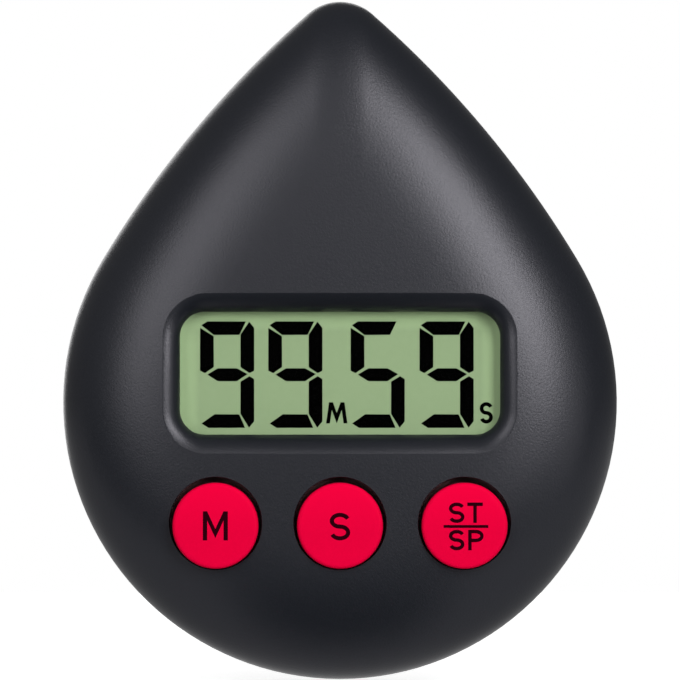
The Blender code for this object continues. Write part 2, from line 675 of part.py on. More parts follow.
def make_case_gasket():
    """Seal between the rear lip and the shoulder of the front rim."""
    outer_inset = RIM_WALL + GAP
    outer = drop(outer_inset, tip_at(outer_inset))
    inner_inset = outer_inset + GASKET_WIDTH
    inner = drop(inner_inset, tip_at(inner_inset))
    low = PART_Z + LIP_HEIGHT + GAP
    high = low + GASKET_HEIGHT
    ring = prism("case_gasket", outer, low, high)
    cut(ring, prism("gasket_hole", inner, low - BEYOND, high + BEYOND, cutter=True))
    return finish(ring, (0.05, 0.05, 0.05), 0.7)


# Screws

def screw_profile(shank_radius, length, head_radius, head_height, shank_z):
    """Pan-headed screw, head towards the wall."""
    return [
        (0, shank_z + length),
        (shank_radius * TIP_SHARE, shank_z + length),
        (shank_radius, shank_z + length - SCREW_TIP),
        (shank_radius, shank_z),
        (head_radius, shank_z),
        (head_radius, shank_z - head_height * HEAD_SIDE_SHARE),
        (head_radius * HEAD_FLAT_SHARE, shank_z - head_height),
        (0, shank_z - head_height),
    ]


def make_screw(name, place, profile, head_radius, head_height, head_z):
    """One screw with a cross recess in its head."""
    screw = turned(name, profile, place, SMALL_STEPS)
    long, wide = head_radius, head_radius * CROSS_SHARE
    outline = []
    for quarter in range(4):
        turn = math.radians(90 * quarter)
        for x, y in ((long / 2, -wide / 2), (long / 2, wide / 2), (wide / 2, wide / 2)):
            outline.append((x * math.cos(turn) - y * math.sin(turn), x * math.sin(turn) + y * math.cos(turn)))
    cut(screw, prism(name + "_cross", outline, head_z - BEYOND,
                     head_z + head_height * CROSS_DEPTH_SHARE, (*place, 0), cutter=True))
    return finish(screw, (0.55, 0.55, 0.56), 0.35, 1.0)


def make_case_screws():
    shank_z = case_shank_z()
    profile = screw_profile(CASE_SCREW_RADIUS, CASE_SCREW_LENGTH, CASE_HEAD_RADIUS,
                            CASE_HEAD_HEIGHT, shank_z)
    for key, place in case_screw_places().items():
        make_screw("case_screw_" + key, place, profile, CASE_HEAD_RADIUS, CASE_HEAD_HEIGHT,
                   shank_z - CASE_HEAD_HEIGHT)


def make_board_screws():
    shank_z = BOARD_REAR_Z - GAP
    profile = screw_profile(BOARD_SCREW_RADIUS, BOARD_SCREW_LENGTH, BOARD_HEAD_RADIUS,
                            BOARD_HEAD_HEIGHT, shank_z)
    for key, place in board_post_places().items():
        make_screw("board_screw_" + key, place, profile, BOARD_HEAD_RADIUS, BOARD_HEAD_HEIGHT,
                   shank_z - BOARD_HEAD_HEIGHT)


# Display

def make_display_lens():
    grow = LENS_MARGIN
    outline = rounded_rectangle(WINDOW_WIDTH / 2 + grow, WINDOW_HEIGHT / 2 + grow, WINDOW_CORNER - grow / 2,
                                (0, BEZEL_CENTRE_Y))
    lens = prism("display_lens", outline, LENS_REAR_Z, LENS_FRONT_Z)
    return finish(lens, (0.9, 0.92, 0.9), 0.05, alpha=0.25)


def make_lcd_cell():
    """Two bonded glass plates; the front one stands out at the top as a contact ledge."""
    profile = [
        (GLASS_LOW_Y, GLASS_REAR_Z),
        (GLASS_TOP_Y - CONTACT_LEDGE, GLASS_REAR_Z),
        (GLASS_TOP_Y - CONTACT_LEDGE, LEDGE_GLASS_Z),
        (GLASS_TOP_Y, LEDGE_GLASS_Z),
        (GLASS_TOP_Y, GLASS_FRONT_Z),
        (GLASS_LOW_Y, GLASS_FRONT_Z),
    ]
    rings = [[(side * GLASS_HALF_WIDTH, y, z) for y, z in profile] for side in (-1, 1)]
    return finish(loft("lcd_cell", rings), (0.29, 0.40, 0.22), 0.15)


def make_lcd_reflector():
    top = GLASS_TOP_Y - CONTACT_LEDGE - REFLECTOR_MARGIN
    low = GLASS_LOW_Y + REFLECTOR_MARGIN
    high_z = GLASS_REAR_Z - BOND
    film = box("lcd_reflector",
               (2 * (GLASS_HALF_WIDTH - REFLECTOR_MARGIN), top - low, REFLECTOR_THICKNESS),
               (0, (top + low) / 2, high_z - REFLECTOR_THICKNESS / 2))
    return finish(film, (0.45, 0.52, 0.38), 0.3, 0.4)


def make_zebra_connector():
    size = (2 * (GLASS_HALF_WIDTH - ZEBRA_END), ZEBRA_DEPTH, ZEBRA_HEIGHT)
    y = GLASS_TOP_Y - CONTACT_LEDGE / 2
    strip = box("zebra_connector", size, (0, y, BOARD_FRONT_Z + GAP + ZEBRA_HEIGHT / 2))
    return finish(strip, (0.35, 0.12, 0.14), 0.6)


def make_lcd_support_pad():
    """Foam strip that carries the low edge of the glass on the board."""
    low = BOARD_FRONT_Z + GAP
    high = GLASS_REAR_Z - BOND - REFLECTOR_THICKNESS - GAP
    size = (2 * (GLASS_HALF_WIDTH - ZEBRA_END), SUPPORT_DEPTH, high - low)
    y = GLASS_LOW_Y + REFLECTOR_MARGIN + SUPPORT_DEPTH
    strip = box("lcd_support_pad", size, (0, y, (low + high) / 2))
    return finish(strip, (0.06, 0.06, 0.06), 0.9)


# Circuit board

def make_circuit_board():
    """The case outline moved in, cut straight across above the display."""
    outline = drop(BOARD_INSET, tip_at(BOARD_INSET))
    board = prism("circuit_board", outline, BOARD_REAR_Z, BOARD_FRONT_Z)
    top = GLASS_TOP_Y + BOARD_TOP_MARGIN
    height = TIP_RISE + TIP_RADIUS - top + BEYOND
    cut(board, box("board_top", (4 * LOBE_RADIUS, height, BOARD_THICKNESS + BEYOND),
                   (0, top + height / 2, (BOARD_REAR_Z + BOARD_FRONT_Z) / 2), cutter=True))
    for key, place in board_post_places().items():
        cut(board, cylinder("board_hole_" + key, BOARD_SCREW_RADIUS + GAP, BOARD_REAR_Z - BEYOND,
                            BOARD_FRONT_Z + BEYOND, place, cutter=True, steps=SMALL_STEPS))
    return finish(board, (0.02, 0.16, 0.07), 0.45)


def make_chip_blob():
    """Drop of potting over the chip."""
    top = BOARD_REAR_Z - GAP
    profile = [(0, top), (BLOB_RADIUS, top)]
    for step in range(1, CORNER_STEPS + 1):
        turn = math.radians(90 * step / CORNER_STEPS)
        profile.append((BLOB_RADIUS * math.cos(turn), top - BLOB_HEIGHT * math.sin(turn)))
    profile[-1] = (0, profile[-1][1])
    blob = turned("chip_blob", profile, (BLOB_RADIUS * 2, BEZEL_CENTRE_Y))
    return finish(blob, (0.015, 0.015, 0.016), 0.3)


def make_quartz_crystal():
    work = bmesh.new()
    bmesh.ops.create_cone(work, cap_ends=True, segments=SMALL_STEPS, radius1=CRYSTAL_RADIUS,
                          radius2=CRYSTAL_RADIUS, depth=CRYSTAL_LENGTH)
    can = new_object("quartz_crystal", mesh_from("quartz_crystal", work),
                     (-CRYSTAL_LENGTH, BEZEL_CENTRE_Y, BOARD_REAR_Z - GAP - CRYSTAL_RADIUS))
    can.rotation_euler = (0, math.radians(90), 0)
    return finish(can, (0.7, 0.7, 0.68), 0.25, 1.0)


def make_chip_capacitors():
    for number in (1, 2):
        y = BEZEL_CENTRE_Y + (2 * number - 3) * 2 * CAPACITOR_LENGTH
        chip = box(f"chip_capacitor_{number}", (CAPACITOR_LENGTH, CAPACITOR_WIDTH, CAPACITOR_HEIGHT),
                   (0, y, BOARD_REAR_Z - GAP - CAPACITOR_HEIGHT / 2))
        finish(chip, (0.42, 0.28, 0.16), 0.5)


# Buttons

def make_button(key, place):
    """Hollow cap with a holding flange and a stem that meets the dome."""
    top = face_level(0, BUTTON_Y) + BUTTON_PROUD
    hollow = BUTTON_RADIUS - BUTTON_WALL
    profile = [(0, top)]
    for step in range(CAP_EDGE_STEPS + 1):
        turn = math.radians(90 * (1 - step / CAP_EDGE_STEPS))
        radius = BUTTON_RADIUS - BUTTON_EDGE + BUTTON_EDGE * math.cos(turn)
        profile.append((radius, top - BUTTON_EDGE + BUTTON_EDGE * math.sin(turn)))
    profile += [
        (BUTTON_RADIUS, FLANGE_TOP_Z),
        (FLANGE_RADIUS, FLANGE_TOP_Z),
        (FLANGE_RADIUS, FLANGE_LOW_Z),
        (hollow, FLANGE_LOW_Z),
        (hollow, top - BUTTON_WALL - BUTTON_EDGE),
        (STEM_RADIUS, top - BUTTON_WALL - BUTTON_EDGE),
        (STEM_RADIUS, STEM_LOW_Z),
        (0, STEM_LOW_Z),
    ]
    cap = turned("button_" + key, profile, place)
    return finish(cap, (0.80, 0.004, 0.043), 0.35)


def make_dome(key, place):
    """Silicone dome: a foot on the board, a sloping wall and a boss under the stem."""
    foot = BUTTON_RADIUS - BUTTON_WALL - GAP
    boss = STEM_RADIUS + DOME_WALL / 2
    boss_low = PILL_LOW_Z + PILL_HEIGHT + BOND
    wall_top = DOME_TOP_Z - DOME_WALL
    profile = [
        (0, DOME_TOP_Z),
        (boss, DOME_TOP_Z),
        (boss, wall_top),
        (foot - DOME_WALL, DOME_LOW_Z + DOME_BASE),
        (foot, DOME_LOW_Z + DOME_BASE),
        (foot, DOME_LOW_Z),
        (foot - 2 * DOME_WALL, DOME_LOW_Z),
        (boss - DOME_WALL / 2, boss_low),
        (0, boss_low),
    ]
    dome = turned("dome_" + key, profile, place, DOME_STEPS)
    return finish(dome, (0.55, 0.55, 0.55), 0.6)


def make_contact_pill(key, place):
    pill = cylinder("contact_pill_" + key, PILL_RADIUS, PILL_LOW_Z, PILL_LOW_Z + PILL_HEIGHT, place,
                    steps=SMALL_STEPS)
    return finish(pill, (0.02, 0.02, 0.02), 0.8)


# Sounder

def make_sounder():
    at = (SOUNDER_X, SOUNDER_Y)
    plate_low = REAR_FLOOR_Z + GAP
    plate_top = plate_low + SOUNDER_THICKNESS
    plate = cylinder("sounder_plate", SOUNDER_RADIUS, plate_low, plate_top, at)
    finish(plate, (0.62, 0.46, 0.18), 0.3, 1.0)
    ceramic_low = plate_top + BOND
    ceramic_top = ceramic_low + SOUNDER_THICKNESS
    ceramic = cylinder("sounder_ceramic", CERAMIC_RADIUS, ceramic_low, ceramic_top, at)
    finish(ceramic, (0.75, 0.74, 0.70), 0.5)
    rim = (CERAMIC_RADIUS + SOUNDER_RADIUS) / 2
    make_lead("sounder_lead_plate", (SOUNDER_X, SOUNDER_Y + rim, plate_top + BOND), (0.02, 0.02, 0.02))
    make_lead("sounder_lead_ceramic", (SOUNDER_X, SOUNDER_Y, ceramic_top + BOND), (0.55, 0.02, 0.02))


def make_lead(name, start, colour):
    """Short wire from the sounder to the back of the board, bowed sideways along its way."""
    end_z = BOARD_REAR_Z - BOND
    bow = SOUNDER_RADIUS / 2
    curve = bpy.data.curves.new(name, "CURVE")
    curve.dimensions = "3D"
    curve.bevel_depth = LEAD_RADIUS
    curve.bevel_resolution = 1
    curve.use_fill_caps = True
    spline = curve.splines.new("POLY")
    spline.points.add(LEAD_POINTS - 1)
    for i, point in enumerate(spline.points):
        share = i / (LEAD_POINTS - 1)
        swing = (1 - math.cos(math.tau * share)) / 2
        point.co = (start[0] + bow * swing, start[1], start[2] + (end_z - start[2]) * share, 1)
    wire = bpy.data.objects.new(name, curve)
    wire.parent = CASE_FRAME
    PARTS.objects.link(wire)
    return finish(wire, colour, 0.5)


# Battery

def make_battery_cell():
    low, top = BATTERY_LOW_Z, BATTERY_TOP_Z
    edge = (BATTERY_RADIUS - BATTERY_CAP_RADIUS) / 4
    profile = [
        (0, top),
        (BATTERY_CAP_RADIUS - edge, top),
        (BATTERY_CAP_RADIUS, top - edge),
        (BATTERY_CAP_RADIUS, top - 2 * edge),
        (BATTERY_RADIUS - edge, top - 2 * edge),
        (BATTERY_RADIUS, top - 3 * edge),
        (BATTERY_RADIUS, low + edge),
        (BATTERY_RADIUS - edge, low),
        (0, low),
    ]
    return finish(turned("battery_cell", profile, (0, BATTERY_Y)), (0.62, 0.62, 0.60), 0.25, 1.0)


def make_contact(name, route):
    """Spring strip along a route of (x, z) beside the battery axis, of one thickness."""
    work = bmesh.new()
    half = CONTACT_WIDTH / 2
    edges = [[work.verts.new((x, side * half, z)) for x, z in route] for side in (-1, 1)]
    for i in range(len(route) - 1):
        work.faces.new((edges[0][i], edges[0][i + 1], edges[1][i + 1], edges[1][i]))
    strip = new_object(name, mesh_from(name, work), (0, BATTERY_Y, 0))
    solid = strip.modifiers.new("thickness", "SOLIDIFY")
    solid.thickness = CONTACT_THICKNESS
    solid.offset = 0
    solid.use_even_offset = True
    return finish(strip, (0.72, 0.70, 0.64), 0.3, 1.0)


def make_battery_contacts():
    foot_z = BOARD_REAR_Z - BOND - CONTACT_THICKNESS / 2
    side_x = BATTERY_RADIUS + GAP + CONTACT_THICKNESS / 2
    make_contact("battery_contact_positive", [
        (side_x, PLUG_TOP_Z + 2 * GAP),
        (side_x, foot_z),
        (side_x + CONTACT_FOOT, foot_z),
    ])
    touch_z = BATTERY_TOP_Z + GAP + CONTACT_THICKNESS / 2
    make_contact("battery_contact_negative", [
        (-BATTERY_RADIUS - CONTACT_FOOT, foot_z),
        (-BATTERY_RADIUS, foot_z),
        (-BATTERY_CAP_RADIUS / 4, touch_z),
        (BATTERY_CAP_RADIUS / 4, touch_z),
        (BATTERY_CAP_RADIUS / 2, touch_z + GAP),
    ])


def seal_level():
    return (LEDGE_LOW_Z + LEDGE_TOP_Z) / 2


def make_battery_door():
    """Round door with a seal groove, a pocket for the cell, two lugs and a coin slot."""
    groove = SEAL_RADIUS + GAP / 2
    groove_floor = PLUG_RADIUS + GAP / 2 - 2 * groove
    flange_top = BACK_Z + DOOR_FLANGE
    edge = GAP
    profile = [
        (0, POCKET_FLOOR_Z),
        (BATTERY_RADIUS + GAP, POCKET_FLOOR_Z),
        (BATTERY_RADIUS + GAP, PLUG_TOP_Z),
        (PLUG_RADIUS, PLUG_TOP_Z),
        (PLUG_RADIUS, seal_level() + groove),
        (groove_floor, seal_level() + groove),
        (groove_floor, seal_level() - groove),
        (PLUG_RADIUS, seal_level() - groove),
        (PLUG_RADIUS, flange_top),
        (DOOR_RADIUS, flange_top),
        (DOOR_RADIUS, BACK_Z + edge),
        (DOOR_RADIUS - edge, BACK_Z),
        (0, BACK_Z),
    ]
    at = (0, BATTERY_Y)
    door = turned("battery_door", profile, at)
    for side in (0, 180):
        lug = sector(PLUG_RADIUS - DOOR_PLUG_WALL / 2, DOOR_RADIUS, side, LUG_HALF_ANGLE)
        cut(door, prism(f"door_lug_{side}", lug, LUG_LOW_Z, LUG_LOW_Z + LUG_HEIGHT, (*at, 0), cutter=True),
            "UNION")
    cut(door, box("coin_slot", (COIN_SLOT_LENGTH, COIN_SLOT_WIDTH, 2 * COIN_SLOT_DEPTH), (*at, BACK_Z),
                  cutter=True))
    return finish(door, (0.026, 0.027, 0.030), 0.4)


def make_battery_door_seal():
    ring_radius = LEDGE_RADIUS - SEAL_RADIUS - BOND
    sides = CORNER_STEPS * 2
    profile = []
    for step in range(sides + 1):
        turn = math.radians(90 - 360 * step / sides)
        radius = ring_radius + SEAL_RADIUS * math.cos(turn)
        profile.append((radius, seal_level() + SEAL_RADIUS * math.sin(turn)))
    return finish(turned("battery_door_seal", profile, (0, BATTERY_Y)), (0.03, 0.03, 0.03), 0.6)


# Suction cup

def make_suction_cup():
    """Soft dish with a neck and a mushroom head that sits in the keyhole."""
    head_low = KEYHOLE_LOW_Z + GAP
    head_top = head_low + HEAD_HEIGHT
    edge = HEAD_HEIGHT / 4
    profile = [
        (0, head_top),
        (HEAD_RADIUS - edge, head_top),
        (HEAD_RADIUS, head_top - edge),
        (HEAD_RADIUS, head_low + edge),
        (HEAD_RADIUS - edge, head_low),
        (NECK_RADIUS, head_low),
    ]
    for step in range(DISH_STEPS + 1):
        share = step / DISH_STEPS
        z = CUP_RIM_HEIGHT + (CUP_HEIGHT - CUP_RIM_HEIGHT) * (1 - share ** CUP_OUTER_POWER)
        profile.append((NECK_RADIUS + (CUP_RADIUS - NECK_RADIUS) * share, z))
    inner = CUP_RADIUS - CUP_RIM_WIDTH
    profile += [(CUP_RADIUS, 0), (inner, 0)]
    for step in range(1, DISH_STEPS + 1):
        share = 1 - step / DISH_STEPS
        profile.append((inner * share, CUP_HOLLOW * (1 - share ** CUP_INNER_POWER)))
    cup = turned("suction_cup", profile, (0, CUP_RISE), LARGE_STEPS)
    return finish(cup, (0.75, 0.78, 0.80), 0.12, alpha=0.45)


def main():
    make_front_case()
    make_rear_cover()
    make_case_gasket()
    make_case_screws()
    make_display_lens()
    make_lcd_cell()
    make_lcd_reflector()
    make_zebra_connector()
    make_lcd_support_pad()
    make_circuit_board()
    make_board_screws()
    make_chip_blob()
    make_quartz_crystal()
    make_chip_capacitors()
    for key, place in button_places().items():
        make_button(key, place)
        make_dome(key, place)
        make_contact_pill(key, place)
    make_sounder()
    make_battery_cell()
    make_battery_contacts()
    make_battery_door()
    make_battery_door_seal()
    make_suction_cup()


main()
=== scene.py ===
import json
from math import atan2, cos, degrees, hypot, radians, sin, sqrt, tau

import bmesh
import bpy
from mathutils import Matrix, Vector
from mathutils.bvhtree import BVHTree
from mathutils.interpolate import poly_3d_calc

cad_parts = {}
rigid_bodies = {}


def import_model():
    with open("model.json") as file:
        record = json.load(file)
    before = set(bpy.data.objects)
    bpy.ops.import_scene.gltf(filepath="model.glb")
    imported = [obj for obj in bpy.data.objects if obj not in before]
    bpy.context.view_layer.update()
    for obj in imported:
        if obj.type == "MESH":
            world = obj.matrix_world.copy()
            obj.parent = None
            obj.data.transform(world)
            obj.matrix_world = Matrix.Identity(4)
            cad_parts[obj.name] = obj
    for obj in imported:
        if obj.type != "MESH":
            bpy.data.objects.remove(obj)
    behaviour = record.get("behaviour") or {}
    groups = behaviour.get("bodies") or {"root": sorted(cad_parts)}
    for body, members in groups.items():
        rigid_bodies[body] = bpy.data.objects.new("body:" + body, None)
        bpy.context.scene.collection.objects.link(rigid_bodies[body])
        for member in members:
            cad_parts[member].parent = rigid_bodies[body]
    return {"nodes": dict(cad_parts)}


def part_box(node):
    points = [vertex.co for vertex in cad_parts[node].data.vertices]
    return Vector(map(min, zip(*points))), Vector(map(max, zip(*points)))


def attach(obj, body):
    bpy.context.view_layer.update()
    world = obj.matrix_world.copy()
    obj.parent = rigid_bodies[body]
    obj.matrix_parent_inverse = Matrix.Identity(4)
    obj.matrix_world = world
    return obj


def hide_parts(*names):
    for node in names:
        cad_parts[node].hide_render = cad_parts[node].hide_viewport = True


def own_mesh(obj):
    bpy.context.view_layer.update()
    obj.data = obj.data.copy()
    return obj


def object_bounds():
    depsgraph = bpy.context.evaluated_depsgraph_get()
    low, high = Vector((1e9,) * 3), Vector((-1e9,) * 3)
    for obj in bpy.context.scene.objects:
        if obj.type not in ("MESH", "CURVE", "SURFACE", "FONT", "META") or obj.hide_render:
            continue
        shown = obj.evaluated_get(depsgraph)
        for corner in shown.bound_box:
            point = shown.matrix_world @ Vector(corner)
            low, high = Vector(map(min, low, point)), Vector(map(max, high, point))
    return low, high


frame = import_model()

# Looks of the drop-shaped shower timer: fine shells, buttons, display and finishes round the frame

CAD_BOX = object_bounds()
MM = 0.001

# The camera: a long lens straight at the face
PICTURE_WIDTH = 90.94 * MM  # what the picture spans at the plane of the outline
PICTURE_RISE = 8.305 * MM  # middle of the picture above the centre of the lobe
OUTLINE_Z = 18 * MM  # plane of the widest outline, from the wall
CAMERA_DISTANCE = 1.2
SENSOR = 36.0

# The case
GAP = 0.3 * MM
LOBE_RADIUS = 37 * MM
TIP_RADIUS = 6.5 * MM
TIP_RISE = 47 * MM
FLANK_RADIUS = 138 * MM
WALL = 2.2 * MM
ROLL_WIDTH = 18 * MM
FACE_HEIGHT = 11 * MM
FACE_RADIUS = 400 * MM
SHOULDER_POWER = 2.5
FACE_TIP_RADIUS = 4 * MM
REAR_ROLL_WIDTH = 7 * MM
REAR_ROLL_HEIGHT = 6.5 * MM
RIM_WALL = 1.1 * MM
LIP_WALL = 1 * MM
LIP_HEIGHT = 1.4 * MM
GASKET_WIDTH = 0.8 * MM
PART_EDGE = 0.12 * MM  # rounded edge of each shell at the parting line
CUP_RISE = 14 * MM  # cup axis above the centre of the lobe

# Display
DISPLAY_RISE = 3.9 * MM
WINDOW_WIDTH = 42.5 * MM
WINDOW_HEIGHT = 16.3 * MM
WINDOW_CORNER = 3.3 * MM
WINDOW_LIP = 0.6 * MM
BEZEL_SIDE = 2.6 * MM
BEZEL_TOP = 2.75 * MM
BEZEL_CORNER = 6 * MM
BEZEL_ENTRY = radians(15)  # slope of the bezel where it leaves the face
BEZEL_LIFT = 0.05 * MM  # the slope starts this far above the face, for a clean edge
FRAME_WALL = 1.6 * MM
INK = 0.02 * MM  # how far printing stands out of its surface, and into it

# Buttons
BUTTON_RADIUS = 5.7 * MM
BUTTON_EDGE = 0.5 * MM
BUTTON_WALL = 1 * MM
FLANGE_HEIGHT = 0.8 * MM
FLANGE_WIDTH = 1.2 * MM
WELL_RADIUS = 6.15 * MM
WELL_SHIFT = 0.3 * MM
WELL_WALL = 1.25 * MM
WELL_EDGE = 0.12 * MM
WELL_LIFT = 0.01 * MM  # the rim's curve runs this far past the face, for a clean edge
STEM_RADIUS = 2.2 * MM
DOME_WALL = 0.6 * MM
DOME_BASE = 0.8 * MM
PILL_GAP = 0.1 * MM  # between a dome and the pill under it

# Back
HEAD_HOLE_RADIUS = 2.4 * MM
HEAD_HOLE_DEPTH = 3.3 * MM
SCREW_HEAD_RADIUS = 2.1 * MM
SCREW_HEAD_HEIGHT = 1.6 * MM
SCREW_SHANK_RADIUS = 1.1 * MM
SCREW_TIP_RADIUS = 0.44 * MM
SCREW_TIP_LENGTH = 0.8 * MM
SCREW_FLAT_SHARE = 0.62  # flat share of the radius of a screw's head
SCREW_CROSS_WIDTH = 0.6 * MM
SCREW_TUBE_RADIUS = 3.6 * MM
DOOR_RADIUS = 8.5 * MM
DOOR_FLANGE = 1.5 * MM
SEAT_RADIUS = 8.8 * MM
BATTERY_BOSS_WALL = 1.8 * MM
LEDGE_RADIUS = 7.5 * MM
LEDGE_HEIGHT = 1.5 * MM
PLUG_RADIUS = 7.2 * MM
PLUG_BORE = 6.1 * MM
LUG_HALF_ANGLE = 14  # degrees
LUG_ROOT = 0.5 * MM  # how far a lug reaches into the plug
SEAL_RADIUS = 0.5 * MM
SEAL_GAP = 0.1 * MM  # between the seal and its bore
COIN_SLOT_LENGTH = 11 * MM
COIN_SLOT_WIDTH = 1.8 * MM
COIN_SLOT_DEPTH = 0.9 * MM
COIN_SLOT_CORNER = 0.81 * MM
SOUND_HOLE_RADIUS = 0.75 * MM
SOUND_HOLE_CIRCLE = 3.2 * MM
SOUND_HOLES = 6
NECK_RADIUS = 3 * MM
POCKET_RADIUS = 5.6 * MM
KEYHOLE_PLATE = 1.6 * MM
KEYHOLE_DROP = 9.5 * MM
KEYHOLE_WALL = 1.4 * MM
HEAD_RADIUS = 5 * MM
HEAD_HEIGHT = 2 * MM
HEAD_EDGE = 0.5 * MM
HOLE_EDGE = 0.25 * MM  # softened rim of a hole in the back

# Suction cup
CUP_RADIUS = 19 * MM
CUP_HEIGHT = 6 * MM
CUP_HOLLOW = 3.6 * MM
CUP_RIM_HEIGHT = 0.8 * MM
CUP_RIM_WIDTH = 1.5 * MM
CUP_OUTER_POWER = 1.6
CUP_INNER_POWER = 1.8

# Facets
LOBE_STEPS = 44
FLANK_STEPS = 20
TIP_STEPS = 16
ROLL_STEPS = 24
CORNER_STEPS = 14
SIDE_STEPS = 16
FACE_STEPS = 14
INNER_FACE_STEPS = 6
ROUND_STEPS = 96
CUP_STEPS = 128
SCREW_STEPS = 64
SMALL_STEPS = 32
LUG_STEPS = 12
EDGE_STEPS = 6
BLOCK_EDGE_STEPS = 3
RIM_TURN = 80  # degrees that a softened rim turns through
SMOOTH_ANGLE = radians(35)
BEYOND = 5 * MM  # how far a cutter runs past what it cuts
NEAR = 0.01 * MM  # a cut point this close to a shell keeps that shell's normal
TINY = 0.001 * MM  # edges and faces thinner than this are dropped after a cut
ALIGNED = 0.85  # a cut face on the shell has at least this cosine with it
SLIVER = (0.05 * MM) ** 2  # a cut face smaller than this has no sure direction

KEYS = ("minutes", "seconds", "start_stop")
CASE_SCREWS = ("top", "left", "right", "bottom")
CORNERS = ((1, -1), (1, 1), (-1, 1), (-1, -1))


# Places and levels read from the frame; heights from the wall, places about the lobe's centre

def rear_level(node):
    return -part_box(node)[1].y


def front_level(node):
    return -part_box(node)[0].y


def place(node):
    low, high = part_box(node)
    return (low.x + high.x) / 2, (low.z + high.z) / 2 + CUP_RISE


BACK_Z = rear_level("rear_cover")
PART_Z = rear_level("front_case")
FACE_Z = front_level("front_case")
ROLL_START_Z = FACE_Z - FACE_HEIGHT
GLASS_FRONT_Z = front_level("lcd_cell")
GLASS_REAR_Z = rear_level("lcd_cell")
LIP_REAR_Z = front_level("display_lens") + GAP
WINDOW_EDGE_Z = LIP_REAR_Z + WINDOW_LIP
RABBET_Z = front_level("case_gasket") + GAP
REAR_FLOOR_Z = BACK_Z + WALL
LEDGE_LOW_Z = BACK_Z + DOOR_FLANGE + GAP
LEDGE_TOP_Z = LEDGE_LOW_Z + LEDGE_HEIGHT
SEAL_Z = (LEDGE_LOW_Z + LEDGE_TOP_Z) / 2
PLUG_TOP_Z = front_level("battery_door")
KEYHOLE_LOW_Z = BACK_Z + KEYHOLE_PLATE
KEYHOLE_TOP_Z = front_level("suction_cup") + GAP
BUTTON_TOP_Z = front_level("button_seconds")
FLANGE_LOW_Z = rear_level("button_seconds")
FLANGE_TOP_Z = FLANGE_LOW_Z + FLANGE_HEIGHT
WELL_LOW_Z = FLANGE_TOP_Z + GAP
STEM_LOW_Z = front_level("dome_seconds") + GAP
BATTERY_PLACE = place("battery_door")
SOUNDER_PLACE = place("sounder_plate")
CENTRE_Y = DISPLAY_RISE


# Shapes, drawn lying on the wall plane: x across, y up the drop, z out from the wall

STAND = Matrix(((1, 0, 0, 0), (0, 0, -1, 0), (0, 1, 0, -CUP_RISE), (0, 0, 0, 1)))
LOOKS = bpy.data.collections.new("looks")
bpy.context.scene.collection.children.link(LOOKS)


def to_mesh(work):
    """Mesh from finished work, smooth except at its sharp edges."""
    mesh = bpy.data.meshes.new("shape")
    work.to_mesh(mesh)
    work.free()
    mesh.shade_smooth()
    mesh.set_sharp_from_angle(angle=SMOOTH_ANGLE)
    return mesh


def loft(rings):
    """Closed skin over rings of equal count, each counter-clockwise seen from its far end."""
    work = bmesh.new()
    loops = [[work.verts.new(point) for point in ring] for ring in rings]
    count = len(loops[0])
    for low, high in zip(loops, loops[1:]):
        for i in range(count):
            j = (i + 1) % count
            work.faces.new((low[i], low[j], high[j], high[i]))
    work.faces.new(list(reversed(loops[0])))
    work.faces.new(loops[-1])
    return to_mesh(work)


def level(outline, z):
    return [(x, y, z) for x, y in outline]


def prism(outline, low, high):
    return loft([level(outline, low), level(outline, high)])


def turned(profile, at, steps=ROUND_STEPS):
    """Round piece from a profile of (radius, z) that runs down its outer side."""
    work = bmesh.new()
    rings = []
    for radius, z in profile:
        if radius == 0:
            rings.append([work.verts.new((at[0], at[1], z))])
            continue
        ring = []
        for i in range(steps):
            turn = tau * i / steps
            x, y = at[0] + radius * cos(turn), at[1] + radius * sin(turn)
            ring.append(work.verts.new((x, y, z)))
        rings.append(ring)
    for upper, lower in zip(rings, rings[1:]):
        for i in range(steps):
            j = (i + 1) % steps
            corners = [upper[i % len(upper)], lower[i % len(lower)],
                       lower[j % len(lower)], upper[j % len(upper)]]
            work.faces.new(list(dict.fromkeys(corners)))
    bmesh.ops.remove_doubles(work, verts=work.verts, dist=TINY)
    return to_mesh(work)


def cylinder(radius, low, high, at, steps=ROUND_STEPS):
    return turned([(0, high), (radius, high), (radius, low), (0, low)], at, steps)


def turns(start, stop, steps):
    """Angles in radians between two in degrees, both included."""
    return [radians(start + (stop - start) * i / steps) for i in range(steps + 1)]


def arc(centre, radius, start, stop, steps):
    """Points of an arc, its angles in degrees."""
    x, y = centre
    return [(x + radius * cos(t), y + radius * sin(t)) for t in turns(start, stop, steps)]


def circle(radius, at, steps=ROUND_STEPS):
    return arc(at, radius, 0, 360, steps)[:-1]


def rounded_rectangle(half_width, half_height, corner, centre):
    """Rounded rectangle with points along its sides as well as its corners."""
    bends = []
    for quarter, (sx, sy) in enumerate(CORNERS):
        middle = (centre[0] + sx * (half_width - corner), centre[1] + sy * (half_height - corner))
        bends.append(arc(middle, corner, 90 * quarter - 90, 90 * quarter, CORNER_STEPS))
    outline = []
    for bend, following in zip(bends, bends[1:] + bends[:1]):
        (x, y), (next_x, next_y) = bend[-1], following[0]
        outline += bend
        for step in range(1, SIDE_STEPS):
            share = step / SIDE_STEPS
            outline.append((x + (next_x - x) * share, y + (next_y - y) * share))
    return outline


def slot_outline(radius, low, high):
    """Upright slot with round ends centred at the two heights."""
    half = ROUND_STEPS // 2
    return arc((0, low), radius, 180, 360, half) + arc((0, high), radius, 0, 180, half)


# The drop outline

def flank_centre():
    """Centre of the right flank's arc, which touches the lobe and the tip from outside."""
    to_lobe = FLANK_RADIUS - LOBE_RADIUS
    to_tip = FLANK_RADIUS - TIP_RADIUS
    y = (to_lobe ** 2 - to_tip ** 2 + TIP_RISE ** 2) / (2 * TIP_RISE)
    return -sqrt(to_lobe ** 2 - y ** 2), y


